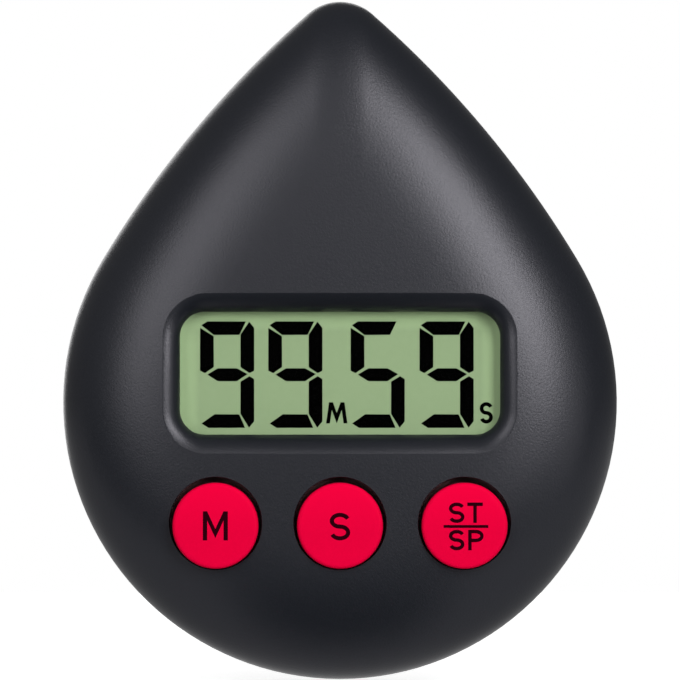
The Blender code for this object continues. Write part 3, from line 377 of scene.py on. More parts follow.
def drop(inset, tip_radius=None):
    """The case outline moved in by the inset, its tip rounded to suit."""
    if tip_radius is None:
        tip_radius = TIP_RADIUS + (FACE_TIP_RADIUS - TIP_RADIUS) * inset / ROLL_WIDTH
    cx, cy = flank_centre()
    flank = FLANK_RADIUS - inset
    tip_y = cy + sqrt((flank - tip_radius) ** 2 - cx ** 2)
    lobe_end = degrees(atan2(-cy, -cx))
    flank_end = degrees(atan2(tip_y - cy, -cx))
    right = arc((0, 0), LOBE_RADIUS - inset, -90, lobe_end, LOBE_STEPS)
    right += arc((cx, cy), flank, lobe_end, flank_end, FLANK_STEPS)[1:]
    right += arc((0, tip_y), tip_radius, flank_end, 90, TIP_STEPS)[1:]
    left = [(-x, y) for x, y in reversed(right[1:-1])]
    return right + left


def crown_drop(x, y):
    """How far the crowned face falls below its highest point."""
    return (x ** 2 + (y - CENTRE_Y) ** 2) / (2 * FACE_RADIUS)


def shoulder(inset_low, start_z, height):
    """Rings of the rounded shoulder, from an upright edge to the edge of the face."""
    rings = []
    for turn in turns(0, 90, ROLL_STEPS):
        along = max(cos(turn), 0) ** (2 / SHOULDER_POWER)
        inset = inset_low + (ROLL_WIDTH - inset_low) * (1 - along)
        rise = sin(turn) ** (2 / SHOULDER_POWER)
        rings.append([(x, y, start_z + rise * (height - crown_drop(x, y))) for x, y in drop(inset)])
    return rings


def face(edge, top_z, steps):
    """Rings of the crowned face, shrinking from its edge towards its highest point."""
    rings = []
    for step in range(1, steps):
        share = 1 - step / steps
        ring = [(x * share, CENTRE_Y + (y - CENTRE_Y) * share) for x, y, _ in edge]
        rings.append([(x, y, top_z - crown_drop(x, y)) for x, y in ring])
    return rings


def face_level(x, y):
    """Height of the front surface over a place away from the tip."""
    cx, cy = flank_centre()
    past_lobe = (y - cy) * -cx > (abs(x) - cx) * -cy
    if past_lobe:
        inset = FLANK_RADIUS - hypot(abs(x) - cx, y - cy)
    else:
        inset = LOBE_RADIUS - hypot(x, y)
    along = max(1 - inset / ROLL_WIDTH, 0)
    rise = (1 - along ** SHOULDER_POWER) ** (1 / SHOULDER_POWER)
    return ROLL_START_Z + rise * (FACE_HEIGHT - crown_drop(x, y))


# Cutting fine shells

def keep_normals(mesh, base):
    """Where a cut mesh still lies on its uncut shell, shade it with the shell's own normals."""
    points = [vertex.co.copy() for vertex in base.vertices]
    normals = [vertex.normal.copy() for vertex in base.vertices]
    faces = [tuple(polygon.vertices) for polygon in base.polygons]
    tree = BVHTree.FromPolygons(points, faces)
    kept = []
    for polygon in mesh.polygons:
        for corner in polygon.vertices:
            spot, flat, index, distance = tree.find_nearest(mesh.vertices[corner].co)
            turned_away = flat.dot(polygon.normal) < ALIGNED and polygon.area > SLIVER
            if distance > NEAR or turned_away:
                kept.append((0, 0, 0))  # Blender keeps its own normal there
                continue
            if len(faces[index]) > 4:  # a flat end face
                kept.append(flat)
                continue
            weights = poly_3d_calc([points[i] for i in faces[index]], spot)
            normal = Vector((0, 0, 0))
            for i, weight in zip(faces[index], weights):
                normal += normals[i] * weight
            kept.append(normal.normalized())
    mesh.normals_split_custom_set(kept)


def carve(base, tools):
    """Cut closed meshes out of a shell, or join them on, keeping the shell's smooth normals."""
    bench = bpy.context.scene.collection.objects
    target = bpy.data.objects.new("target", base.copy())
    bench.link(target)
    for mesh, operation in tools:
        tool = bpy.data.objects.new("tool", mesh)
        bench.link(tool)
        modifier = target.modifiers.new("cut", "BOOLEAN")
        modifier.operation = operation
        modifier.solver = "EXACT"
        modifier.object = tool
    bpy.context.view_layer.update()
    graph = bpy.context.evaluated_depsgraph_get()
    result = bpy.data.meshes.new_from_object(target.evaluated_get(graph))
    for modifier in target.modifiers:
        bpy.data.objects.remove(modifier.object)
    bpy.data.objects.remove(target)
    work = bmesh.new()
    work.from_mesh(result)
    bpy.data.meshes.remove(result)
    bmesh.ops.remove_doubles(work, verts=work.verts, dist=TINY)
    bmesh.ops.dissolve_degenerate(work, dist=TINY, edges=work.edges)
    bmesh.ops.delete(work, geom=[edge for edge in work.edges if not edge.link_faces], context="EDGES")
    bmesh.ops.holes_fill(work, edges=[edge for edge in work.edges if edge.is_boundary], sides=0)
    carved = to_mesh(work)
    keep_normals(carved, base)
    return carved


def cuts(*meshes):
    return [(mesh, "DIFFERENCE") for mesh in meshes]


def together(meshes):
    """Several separate closed meshes as one."""
    work = bmesh.new()
    for mesh in meshes:
        work.from_mesh(mesh)
    return to_mesh(work)


def show(name, mesh, body, paint, replaced=()):
    """Stand a finished mesh up in the frame, give it its finish and fix it to its body."""
    mesh.transform(STAND)
    mesh.materials.clear()
    mesh.materials.append(paint)
    mesh.name = name
    obj = bpy.data.objects.new(name, mesh)
    LOOKS.objects.link(obj)
    if replaced:
        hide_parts(*replaced)
    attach(obj, body)
    return obj


# Finishes

NOISE_DETAIL = 3.0
GRAIN_DEPTH = 0.05 * MM
LENS_GLOSS = 0.0015
VINYL_CLARITY = 0.97
VINYL_IOR = 1.45


def add_node(tree, kind, output, inputs, **settings):
    """New shader node, by one of its outputs; each input is a value or the output of another node."""
    made = tree.nodes.new("ShaderNode" + kind)
    for setting, value in settings.items():
        setattr(made, setting, value)
    for key, value in inputs.items():
        if isinstance(value, bpy.types.NodeSocket):
            tree.links.new(value, made.inputs[key])
        else:
            made.inputs[key].default_value = value
    return made.outputs[output]


def finish(name, dark, light, roughness, metallic=0.0, scale=2500, grain=0.0, specular=0.5,
           stretch=(1, 1, 1)):
    """Material whose colour, roughness and relief all follow a fine noise fixed to the piece."""
    paint = bpy.data.materials.new(name)
    paint.use_nodes = True
    tree = paint.node_tree
    shader = tree.nodes["Principled BSDF"]
    where = add_node(tree, "TexCoord", "Object", {})
    spread = add_node(tree, "Mapping", "Vector", {"Vector": where, "Scale": stretch})
    noise = add_node(tree, "TexNoise", "Fac", {"Vector": spread, "Scale": scale, "Detail": NOISE_DETAIL})
    colours = {"Factor": noise, "A": (*dark, 1), "B": (*light, 1)}
    tree.links.new(add_node(tree, "Mix", "Result", colours, data_type="RGBA"), shader.inputs["Base Color"])
    limits = {"Value": noise, "To Min": roughness[0], "To Max": roughness[1]}
    tree.links.new(add_node(tree, "MapRange", "Result", limits), shader.inputs["Roughness"])
    shader.inputs["Metallic"].default_value = metallic
    shader.inputs["Specular IOR Level"].default_value = specular
    if grain:
        relief = {"Height": noise, "Strength": grain, "Distance": GRAIN_DEPTH}
        tree.links.new(add_node(tree, "Bump", "Normal", relief), shader.inputs["Normal"])
    return paint


def blend(tree, share, first, second):
    return add_node(tree, "MixShader", "Shader", {"Fac": share, 1: first, 2: second})


def grey(value):
    return value, value, value


def clear_sheet():
    """Clear flat sheet with a faint gloss that varies a little."""
    paint = finish("clear_lens", grey(0.9), grey(1.0), (0.02, 0.05), scale=300)
    tree = paint.node_tree
    clear = add_node(tree, "BsdfTransparent", "BSDF", {})
    sheen = add_node(tree, "BsdfGlossy", "BSDF", {"Roughness": tree.nodes["Map Range"].outputs["Result"]})
    surface = tree.nodes["Material Output"].inputs["Surface"]
    tree.links.new(blend(tree, LENS_GLOSS, clear, sheen), surface)
    return paint


def clear_vinyl():
    """Soft clear plastic."""
    paint = finish("clear_vinyl", (0.9, 0.93, 0.94), (0.97, 0.98, 0.98), (0.04, 0.12), scale=400, grain=0.03)
    shader = paint.node_tree.nodes["Principled BSDF"]
    shader.inputs["Transmission Weight"].default_value = VINYL_CLARITY
    shader.inputs["IOR"].default_value = VINYL_IOR
    return paint


def tint(paint, axis, start, stop, colour):
    """Blend a finish to another colour along one axis of the piece, from one place to another."""
    tree = paint.node_tree
    base = tree.nodes["Principled BSDF"].inputs["Base Color"]
    where = tree.nodes["Texture Coordinate"].outputs["Object"]
    along = add_node(tree, "SeparateXYZ", axis, {"Vector": where})
    share = add_node(tree, "MapRange", "Result", {"Value": along, "From Min": start, "From Max": stop})
    colours = {"Factor": share, "A": base.links[0].from_socket, "B": (*colour, 1)}
    tree.links.new(add_node(tree, "Mix", "Result", colours, data_type="RGBA"), base)


CASE_PLASTIC = finish("satin_black_case", (0.0075, 0.0088, 0.0123), (0.0104, 0.0122, 0.0165), (0.29, 0.41),
                      scale=3600, grain=0.36)
CASE_SHEEN = (0.935, 0.91, 0.985, 1)  # the case's gloss is slightly violet
CASE_PLASTIC.node_tree.nodes["Principled BSDF"].inputs["Specular Tint"].default_value = CASE_SHEEN
REAR_PLASTIC = finish("satin_black_back", (0.011, 0.0115, 0.0125), (0.016, 0.0165, 0.0175), (0.4, 0.52),
                      scale=3600, grain=0.16)

RED_PLASTIC = finish("satin_red_button", (0.72, 0.0002, 0.0365), (0.79, 0.0003, 0.0435), (0.36, 0.46),
                     scale=2600, grain=0.03, specular=0.012)
RED_PAINTED_HIGHLIGHT = (0.88, 0.0003, 0.046)  # painted highlight: the caps are painted brighter towards their upper edge, where the light falls
HIGHLIGHT_START = 1 * MM  # how far below the middle of a cap the painted highlight begins
CAP_RISE = place("button_seconds")[1] - CUP_RISE
tint(RED_PLASTIC, "Z", CAP_RISE - HIGHLIGHT_START, CAP_RISE + BUTTON_RADIUS, RED_PAINTED_HIGHLIGHT)
RED_PAINTED_SHADE = (0.3, 0.14, 0.15)  # painted shade: their sides are painted duller and darker deeper in their wells, where shade falls
SKIRT_SHADE_START = 1 * MM  # how far below the rounded edge the painted shade begins
SKIRT_SHADE_FULL = 2 * MM
SKIRT_TOP_Z = BUTTON_TOP_Z - BUTTON_EDGE
tint(RED_PLASTIC, "Y", SKIRT_SHADE_START - SKIRT_TOP_Z, SKIRT_SHADE_FULL - SKIRT_TOP_Z, RED_PAINTED_SHADE)
LEGEND_INK = finish("legend_ink", (0.016, 0.0004, 0.003), (0.026, 0.0008, 0.005), (0.5, 0.6), specular=0.0)

LCD_GREEN = finish("lcd_ground", (0.282, 0.39, 0.211), (0.302, 0.412, 0.227), (0.3, 0.38), scale=1500,
                   specular=0.1)
LCD_PAINTED_LIGHT = (0.44, 0.615, 0.325)  # painted light: the ground is painted paler along the top and the sides of the window, to fill the bezel's shadow
PAINTED_LIGHT_START = 2.6 * MM  # how far in from the window's edge the painted light starts
PAINTED_LIGHT_FULL = 0.3 * MM
WINDOW_SIDE = WINDOW_WIDTH / 2
for side in (-1, 1):
    tint(LCD_GREEN, "X", side * (WINDOW_SIDE - PAINTED_LIGHT_START), side * (WINDOW_SIDE - PAINTED_LIGHT_FULL), LCD_PAINTED_LIGHT)
WINDOW_TOP = DISPLAY_RISE + WINDOW_HEIGHT / 2 - CUP_RISE
tint(LCD_GREEN, "Z", WINDOW_TOP - PAINTED_LIGHT_START, WINDOW_TOP - PAINTED_LIGHT_FULL, LCD_PAINTED_LIGHT)
LCD_DARK = finish("lcd_segment", grey(0.0002), grey(0.0006), (0.45, 0.55), specular=0.0)
LENS_CLEAR = clear_sheet()

CUP_VINYL = clear_vinyl()
BLACK_RUBBER = finish("black_rubber", grey(0.012), grey(0.024), (0.6, 0.8), grain=0.2)
GREY_SILICONE = finish("grey_silicone", grey(0.42), grey(0.5), (0.45, 0.6), grain=0.1)
SCREW_STEEL = finish("screw_steel", (0.5, 0.5, 0.51), (0.62, 0.62, 0.63), (0.24, 0.38), 1.0, scale=1800,
                     grain=0.05)
ZEBRA = finish("zebra_rubber", (0.03, 0.03, 0.035), (0.42, 0.1, 0.12), (0.5, 0.6), scale=900,
               stretch=(8, 0.1, 0.1))
FOAM = finish("foam", grey(0.03), grey(0.08), (0.85, 0.95), scale=3000, grain=0.6)
CARBON = finish("carbon_pill", grey(0.012), grey(0.026), (0.75, 0.85), grain=0.2)
BOARD_GREEN = finish("board_mask", (0.01, 0.1, 0.04), (0.02, 0.19, 0.08), (0.3, 0.45), scale=700)
REFLECTOR = finish("reflector_film", (0.42, 0.5, 0.36), (0.52, 0.6, 0.44), (0.25, 0.35), 0.3, scale=2000)
POTTING = finish("potting", (0.008, 0.008, 0.009), (0.018, 0.018, 0.019), (0.22, 0.34), scale=600)
NICKEL = finish("nickel_strip", (0.62, 0.6, 0.55), (0.76, 0.74, 0.69), (0.22, 0.34), 1.0,
                stretch=(0.2, 4, 1))
CELL_STEEL = finish("cell_steel", (0.56, 0.56, 0.55), (0.72, 0.72, 0.7), (0.16, 0.3), 1.0,
                    stretch=(0.3, 5, 1))
BRASS = finish("sounder_brass", (0.52, 0.37, 0.13), (0.68, 0.52, 0.22), (0.22, 0.36), 1.0)
CERAMIC = finish("ceramic", (0.66, 0.65, 0.61), (0.78, 0.77, 0.73), (0.4, 0.55))
CAPACITOR = finish("capacitor_ceramic", (0.34, 0.22, 0.12), (0.46, 0.31, 0.18), (0.4, 0.5))
LEAD_BLACK = finish("lead_black", grey(0.012), grey(0.022), (0.4, 0.5))
LEAD_RED = finish("lead_red", (0.48, 0.012, 0.012), (0.6, 0.022, 0.022), (0.4, 0.5))


# Case shells

def rolled(radius, edge):
    """(radius, depth below the surface) round a softened rim, from the hole out to the surface."""
    angles = turns(0, RIM_TURN, EDGE_STEPS)
    return [(radius + edge * (1 - cos(turn)), edge * (1 - sin(turn))) for turn in angles]


def bezel_cutter():
    """Recess of the bezel: a slope that steepens inwards and the window through the lip."""
    def ring(share):
        half_w = WINDOW_WIDTH / 2 + BEZEL_SIDE * share
        half_h = WINDOW_HEIGHT / 2 + BEZEL_TOP * share
        corner = WINDOW_CORNER + (BEZEL_CORNER - WINDOW_CORNER) * share
        return rounded_rectangle(half_w, half_h, corner, (0, CENTRE_Y))

    first, last = BEZEL_ENTRY, radians(90) - BEZEL_ENTRY
    span = sin(last) - sin(first)
    rings = [level(ring(0), LIP_REAR_Z - WINDOW_LIP)]
    for step in range(ROLL_STEPS + 1):
        turn = last + (first - last) * step / ROLL_STEPS
        fall = (cos(first) - cos(turn)) / span
        blended = []
        for x, y in ring((sin(last) - sin(turn)) / span):
            upper = face_level(x, y) + BEZEL_LIFT
            blended.append((x, y, upper + (WINDOW_EDGE_Z - upper) * fall))
        rings.append(blended)
    rings.append(level(ring(1), FACE_Z + BEYOND))
    return loft(rings)


def well_cutter(at):
    """Hole for a button, its rim softened where it meets the crowned face."""
    rings = [level(circle(WELL_RADIUS, at), WELL_LOW_Z - BEYOND)]
    rim = rolled(WELL_RADIUS, WELL_EDGE)
    for radius, sink in rim:
        rings.append([(x, y, face_level(x, y) + WELL_LIFT - sink) for x, y in circle(radius, at)])
    rings.append(level(circle(rim[-1][0], at), FACE_Z + BEYOND))
    return loft(rings)


def seat(node, grow, corner, low, high):
    """Block round a piece of the display, wider than it on every side."""
    near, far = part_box(node)
    half_w = (far.x - near.x) / 2 + grow
    half_h = (far.z - near.z) / 2 + grow
    return prism(rounded_rectangle(half_w, half_h, corner, (0, CENTRE_Y)), low, high)


def well_place(key):
    x, y = place("button_" + key)
    return x, y + WELL_SHIFT


def part_edge(z, sign):
    """Outlines round the edge of a shell at the parting line, from its end face to its side."""
    rings = []
    for turn in turns(0, 90, EDGE_STEPS):
        inset = PART_EDGE * (1 - sin(turn))
        rings.append(level(drop(inset, TIP_RADIUS), z + sign * PART_EDGE * (1 - cos(turn))))
    return rings


def make_front_case():
    slope = shoulder(0, ROLL_START_Z, FACE_HEIGHT)
    shell = loft(part_edge(PART_Z, 1) + slope + face(slope[-1], FACE_Z, FACE_STEPS))
    lap = drop(RIM_WALL)
    inner = [level(lap, PART_Z - BEYOND), level(lap, RABBET_Z)]
    inner += shoulder(WALL, RABBET_Z, FACE_Z - WALL - RABBET_Z)
    hollow = loft(inner + face(inner[-1], FACE_Z - WALL, INNER_FACE_STEPS))
    top = FACE_Z + BEYOND
    walls = [cylinder(WELL_RADIUS + WELL_WALL, WELL_LOW_Z, top, well_place(key)) for key in KEYS]
    display_wall = seat("lcd_cell", GAP + FRAME_WALL, FRAME_WALL, GLASS_REAR_Z, top)
    hollow = carve(hollow, cuts(display_wall, *walls))
    openings = together([well_cutter(well_place(key)) for key in KEYS] + [bezel_cutter()])
    lens_seat = seat("display_lens", GAP, GAP, GLASS_REAR_Z - GAP, LIP_REAR_Z)
    glass_seat = seat("lcd_cell", GAP, GAP, GLASS_REAR_Z - BEYOND, GLASS_FRONT_Z + GAP)
    skin = carve(shell, cuts(openings, hollow, lens_seat, glass_seat))
    show("front_case_skin", skin, "case", CASE_PLASTIC, ["front_case"])


def rear_rings(inset, floor_z, height):
    """Rings of the rounded back, from its flat up to the start of the upright side."""
    rings = []
    for turn in turns(0, 90, ROLL_STEPS):
        reach = inset + REAR_ROLL_WIDTH * (1 - sin(turn))
        rings.append(level(drop(reach), floor_z + height * (1 - cos(turn))))
    return rings


def hole_cutter(radius, top, at):
    """Round hole into the back with a softened rim."""
    profile = [(0, top), (radius, top)] + [(r, BACK_Z + sink) for r, sink in rolled(radius, HOLE_EDGE)]
    outer = profile[-1][0]
    return turned(profile + [(outer, BACK_Z - BEYOND), (0, BACK_Z - BEYOND)], at)


def slot_cutter(radius, low, high, top):
    """Upright slot into the back with a softened rim."""
    rim = list(reversed(rolled(radius, HOLE_EDGE)))
    rings = [level(slot_outline(rim[0][0], low, high), BACK_Z - BEYOND)]
    rings += [level(slot_outline(r, low, high), BACK_Z + sink) for r, sink in rim]
    return loft(rings + [level(slot_outline(radius, low, high), top)])


def make_rear_cover():
    lip = drop(RIM_WALL + GAP)
    end = PART_Z - GAP
    rings = [level(drop(REAR_ROLL_WIDTH + GAP), BACK_Z)]
    rings += rear_rings(0, BACK_Z, REAR_ROLL_HEIGHT)
    rings += reversed(part_edge(end, -1))
    rings += [level(lip, end), level(lip, PART_Z + LIP_HEIGHT)]
    shell = loft(rings)
    inset = RIM_WALL + GAP + LIP_WALL
    inner = rear_rings(inset, REAR_FLOOR_Z, REAR_ROLL_HEIGHT - WALL)
    hollow = loft(inner + [level(drop(inset), PART_Z + LIP_HEIGHT + BEYOND)])
    tube_top = PART_Z + LIP_HEIGHT - GAP
    screws = [place("case_screw_" + key) for key in CASE_SCREWS]
    kept = [cylinder(SCREW_TUBE_RADIUS, BACK_Z, tube_top, at, SMALL_STEPS) for at in screws]
    kept.append(cylinder(SEAT_RADIUS + BATTERY_BOSS_WALL, BACK_Z, PLUG_TOP_Z, BATTERY_PLACE))
    entry = CUP_RISE - KEYHOLE_DROP
    socket = slot_outline(POCKET_RADIUS + KEYHOLE_WALL, entry, CUP_RISE)
    kept.append(prism(socket, BACK_Z, KEYHOLE_TOP_Z + KEYHOLE_WALL))
    tools = [carve(hollow, cuts(*kept))]
    tools.append(hole_cutter(SEAT_RADIUS, LEDGE_LOW_Z, BATTERY_PLACE))
    top, bore = PLUG_TOP_Z + BEYOND, SEAT_RADIUS - NEAR
    ledge = [(0, top), (bore, top), (bore, LEDGE_TOP_Z), (LEDGE_RADIUS, LEDGE_TOP_Z),
             (LEDGE_RADIUS, BACK_Z), (0, BACK_Z)]
    tools.append(turned(ledge, BATTERY_PLACE))
    tools.append(prism(slot_outline(POCKET_RADIUS, entry, CUP_RISE), KEYHOLE_LOW_Z, KEYHOLE_TOP_Z))
    tools.append(slot_cutter(NECK_RADIUS + GAP, entry, CUP_RISE, KEYHOLE_TOP_Z - GAP))
    tools.append(hole_cutter(POCKET_RADIUS - GAP, KEYHOLE_TOP_Z - GAP, (0, entry)))
    for at in screws:
        tools.append(hole_cutter(HEAD_HOLE_RADIUS, BACK_Z + HEAD_HOLE_DEPTH, at))
        tools.append(cylinder(SCREW_SHANK_RADIUS + GAP, BACK_Z, PART_Z + BEYOND, at, SMALL_STEPS))
    for at in [SOUNDER_PLACE] + circle(SOUND_HOLE_CIRCLE, SOUNDER_PLACE, SOUND_HOLES):
        tools.append(hole_cutter(SOUND_HOLE_RADIUS, REAR_FLOOR_Z + GAP / 2, at))
    skin = carve(shell, cuts(*tools))
    show("rear_cover_skin", skin, "case", REAR_PLASTIC, ["rear_cover"])


def make_gasket():
    low, high = rear_level("case_gasket"), front_level("case_gasket")
    outer = prism(drop(RIM_WALL + GAP), low, high)
    inner = prism(drop(RIM_WALL + GAP + GASKET_WIDTH), low - BEYOND, high + BEYOND)
    ring = carve(outer, cuts(inner))
    show("case_gasket_skin", ring, "case", BLACK_RUBBER, ["case_gasket"])


# Screws and back fittings

def make_case_screws():
    """Round-headed screws with a cross recess."""
    bars = ((SCREW_HEAD_RADIUS, SCREW_CROSS_WIDTH), (SCREW_CROSS_WIDTH, SCREW_HEAD_RADIUS))
    for key in CASE_SCREWS:
        node = "case_screw_" + key
        at = place(node)
        low, high = rear_level(node), front_level(node)
        neck = low + SCREW_HEAD_HEIGHT
        profile = [(0, high), (SCREW_TIP_RADIUS, high), (SCREW_SHANK_RADIUS, high - SCREW_TIP_LENGTH),
                   (SCREW_SHANK_RADIUS, neck), (SCREW_HEAD_RADIUS, neck)]
        for turn in turns(0, 90, EDGE_STEPS):
            reach = SCREW_HEAD_RADIUS * (SCREW_FLAT_SHARE + (1 - SCREW_FLAT_SHARE) * cos(turn))
            profile.append((reach, neck - SCREW_HEAD_HEIGHT * (1 + sin(turn)) / 2))
        profile.append((0, low))
        recess = []
        for across, tall in bars:
            outline = [(at[0] + sx * across / 2, at[1] + sy * tall / 2) for sx, sy in CORNERS]
            recess.append(prism(outline, low - BEYOND, low + SCREW_HEAD_HEIGHT / 2))
        screw = carve(turned(profile, at, SCREW_STEPS), cuts(*recess))
        show(node + "_skin", screw, "case", SCREW_STEEL, [node])


def make_battery_door():
    """Round door with a coin slot, a seal groove, a pocket for the cell and two lugs."""
    flange_top = BACK_Z + DOOR_FLANGE
    groove = SEAL_RADIUS + GAP / 2
    floor = PLUG_RADIUS + GAP / 2 - 2 * groove
    pocket = rear_level("battery_cell") - GAP
    profile = [(0, pocket), (PLUG_BORE, pocket), (PLUG_BORE, PLUG_TOP_Z), (PLUG_RADIUS, PLUG_TOP_Z),
               (PLUG_RADIUS, SEAL_Z + groove), (floor, SEAL_Z + groove), (floor, SEAL_Z - groove),
               (PLUG_RADIUS, SEAL_Z - groove), (PLUG_RADIUS, flange_top), (DOOR_RADIUS, flange_top)]
    profile += arc((DOOR_RADIUS - GAP, BACK_Z + GAP), GAP, 0, -90, EDGE_STEPS)
    profile.append((0, BACK_Z))
    door = turned(profile, BATTERY_PLACE)
    tools = []
    for side in (0, 180):
        start, stop = side - LUG_HALF_ANGLE, side + LUG_HALF_ANGLE
        lug = arc(BATTERY_PLACE, DOOR_RADIUS, start, stop, LUG_STEPS)
        lug += arc(BATTERY_PLACE, PLUG_RADIUS - LUG_ROOT, stop, start, LUG_STEPS)
        tools.append((prism(lug, LEDGE_TOP_Z + GAP, PLUG_TOP_Z - GAP), "UNION"))
    coin = rounded_rectangle(COIN_SLOT_LENGTH / 2, COIN_SLOT_WIDTH / 2, COIN_SLOT_CORNER, BATTERY_PLACE)
    tools += cuts(prism(coin, BACK_Z - BEYOND, BACK_Z + COIN_SLOT_DEPTH))
    skin = carve(door, tools)
    show("battery_door_skin", skin, "battery_lid", REAR_PLASTIC, ["battery_door"])


def make_battery_seal():
    middle = LEDGE_RADIUS - SEAL_GAP - SEAL_RADIUS
    seal = turned(arc((middle, SEAL_Z), SEAL_RADIUS, 90, -270, SMALL_STEPS), BATTERY_PLACE)
    show("battery_door_seal_skin", seal, "battery_lid", BLACK_RUBBER, ["battery_door_seal"])


def make_suction_cup():
    head_top = front_level("suction_cup")
    head_low = head_top - HEAD_HEIGHT
    profile = [(0, head_top)]
    for start, z in ((90, head_top - HEAD_EDGE), (0, head_low + HEAD_EDGE)):
        profile += arc((HEAD_RADIUS - HEAD_EDGE, z), HEAD_EDGE, start, start - 90, EDGE_STEPS)
    profile.append((NECK_RADIUS, head_low))
    for step in range(ROLL_STEPS + 1):
        share = step / ROLL_STEPS
        z = CUP_RIM_HEIGHT + (CUP_HEIGHT - CUP_RIM_HEIGHT) * (1 - share ** CUP_OUTER_POWER)
        profile.append((NECK_RADIUS + (CUP_RADIUS - NECK_RADIUS) * share, z))
    inner = CUP_RADIUS - CUP_RIM_WIDTH
    profile += [(CUP_RADIUS, 0.0), (inner, 0.0)]
    for step in range(1, ROLL_STEPS + 1):
        share = 1 - step / ROLL_STEPS
        profile.append((inner * share, CUP_HOLLOW * (1 - share ** CUP_INNER_POWER)))
    cup = turned(profile, (0, CUP_RISE), CUP_STEPS)
    show("suction_cup_skin", cup, "cup", CUP_VINYL, ["suction_cup"])


# Printing, in plain capitals

MITRE_SHARE = 0.35  # limits how far the corner of a sharp bend reaches out
BOW_STEPS = 24
S_OPENING = 20  # degrees above level at which the upper bow of an S starts
P_BELLY = 0.26  # half the height of a P's belly, as a share of the letter
P_STEPS = 15


def stroke(work, points, width, at, z):
    """Flat printed line of one width along a run of points."""
    count = len(points)
    sides = []
    for i in range(count):
        before = Vector(points[max(i - 1, 0)])
        after = Vector(points[min(i + 1, count - 1)])
        here = Vector(points[i])
        first = (here - before).normalized() if i > 0 else (after - here).normalized()
        second = (after - here).normalized() if i < count - 1 else first
        bend = (Vector((-first.y, first.x)) + Vector((-second.y, second.x))).normalized()
        reach = width / 2 / max(bend.dot(Vector((-first.y, first.x))), MITRE_SHARE)
        edges = (here + bend * reach, here - bend * reach)
        sides.append([work.verts.new((at[0] + edge.x, at[1] + edge.y, z)) for edge in edges])
    for low, high in zip(sides, sides[1:]):
        work.faces.new((low[0], low[1], high[1], high[0]))


def printed(work):
    """Flat shapes drawn on a surface, made thin closed layers set into it."""
    bmesh.ops.reverse_faces(work, faces=[shape for shape in work.faces if shape.normal.z < 0])
    bmesh.ops.translate(work, vec=(0, 0, -INK), verts=work.verts)
    grown = bmesh.ops.extrude_face_region(work, geom=work.faces[:], use_keep_orig=True)["geom"]
    upper = [item for item in grown if isinstance(item, bmesh.types.BMVert)]
    bmesh.ops.translate(work, vec=(0, 0, 2 * INK), verts=upper)
    bmesh.ops.recalc_face_normals(work, faces=work.faces)
    return to_mesh(work)


def letter(character, width, height, line):
    """Runs of points of an S, T or P, its lower left corner at the origin."""
    def bow(centre_y, start, stop):
        angles = turns(start, stop, BOW_STEPS)
        return [(width / 2 + width / 2 * cos(t), centre_y + height / 4 * sin(t)) for t in angles]

    if character == "S":
        return [bow(height * 3 / 4, S_OPENING, 270)[:-1] + bow(height / 4, 90, S_OPENING - 180)]
    if character == "T":
        bar = [(-line / 2, height), (width + line / 2, height)]
        return [bar, [(width / 2, height - line / 2), (width / 2, -line / 2)]]
    belly = []
    for turn in turns(0, 180, P_STEPS):
        belly.append((width / 2 * (1 + sin(turn)), height * (1 - P_BELLY + P_BELLY * cos(turn))))
    return [[(0, -line / 2), (0, height)] + belly + [(line / 2, height * (1 - 2 * P_BELLY))]]


def print_letter(work, character, centre, size, width, z):
    across, tall = size[0] - width, size[1] - width
    at = (centre[0] - across / 2, centre[1] - tall / 2)
    for run in letter(character, across, tall, width):
        stroke(work, run, width, at, z)


def print_m(work, centre, size, width, z, lean=0.0, dip=0.0):
    """Capital M: its legs lean in by a share and its middle comes to a point at a share of its height."""
    half, top, point = width / 2, size[1], size[1] * dip
    foot = size[0] / 2 - half
    head = foot * (1 - 2 * lean)
    slope = (top - point) / (head + half)
    notch = top - slope * (head - half)
    fork = (point + slope * (foot - half)) / (1 + slope * (foot - head) / top)
    side = [(foot + half, 0), (head + half, top), (head - half, top)]
    under = [((fork - point) / slope, fork), (foot - half, 0)]
    outline = side + [(0, notch)] + [(-x, y) for x, y in reversed(side)]
    outline += [(-x, y) for x, y in reversed(under)] + [(0, point)] + under
    at = (centre[0], centre[1] - top / 2)
    work.faces.new([work.verts.new((at[0] + x, at[1] + y, z)) for x, y in outline])


# Buttons; the letters' places are from the middle of the cap

M_SIZE = (3.3 * MM, 3.85 * MM)
M_LINE = 0.56 * MM
M_DIP = 0.08
S_SIZE = (2.7 * MM, 3.65 * MM)
S_LINE = 0.54 * MM
S_RISE = -0.1 * MM
PAIR_SIZE = (2.05 * MM, 2.7 * MM)
PAIR_LINE = 0.46 * MM
PAIR_LEFT = -1.05 * MM
PAIRS = (("ST", 1.74 * MM, 1.38 * MM), ("SP", -1.88 * MM, 1.5 * MM))  # rise, right letter's place
BAR = ((-2.78 * MM, 0), (3.14 * MM, 0))
BAR_LINE = 0.38 * MM
BAR_RISE = -0.08 * MM


def legend(key, at, z):
    """What is printed on a cap: M, S, or two pairs of letters with a line between them."""
    work = bmesh.new()
    if key == "minutes":
        print_m(work, at, M_SIZE, M_LINE, z, dip=M_DIP)
    elif key == "seconds":
        print_letter(work, "S", (at[0], at[1] + S_RISE), S_SIZE, S_LINE, z)
    else:
        for pair, rise, right in PAIRS:
            for character, across in zip(pair, (PAIR_LEFT, right)):
                print_letter(work, character, (at[0] + across, at[1] + rise), PAIR_SIZE, PAIR_LINE, z)
        stroke(work, BAR, BAR_LINE, (at[0], at[1] + BAR_RISE), z)
    return printed(work)


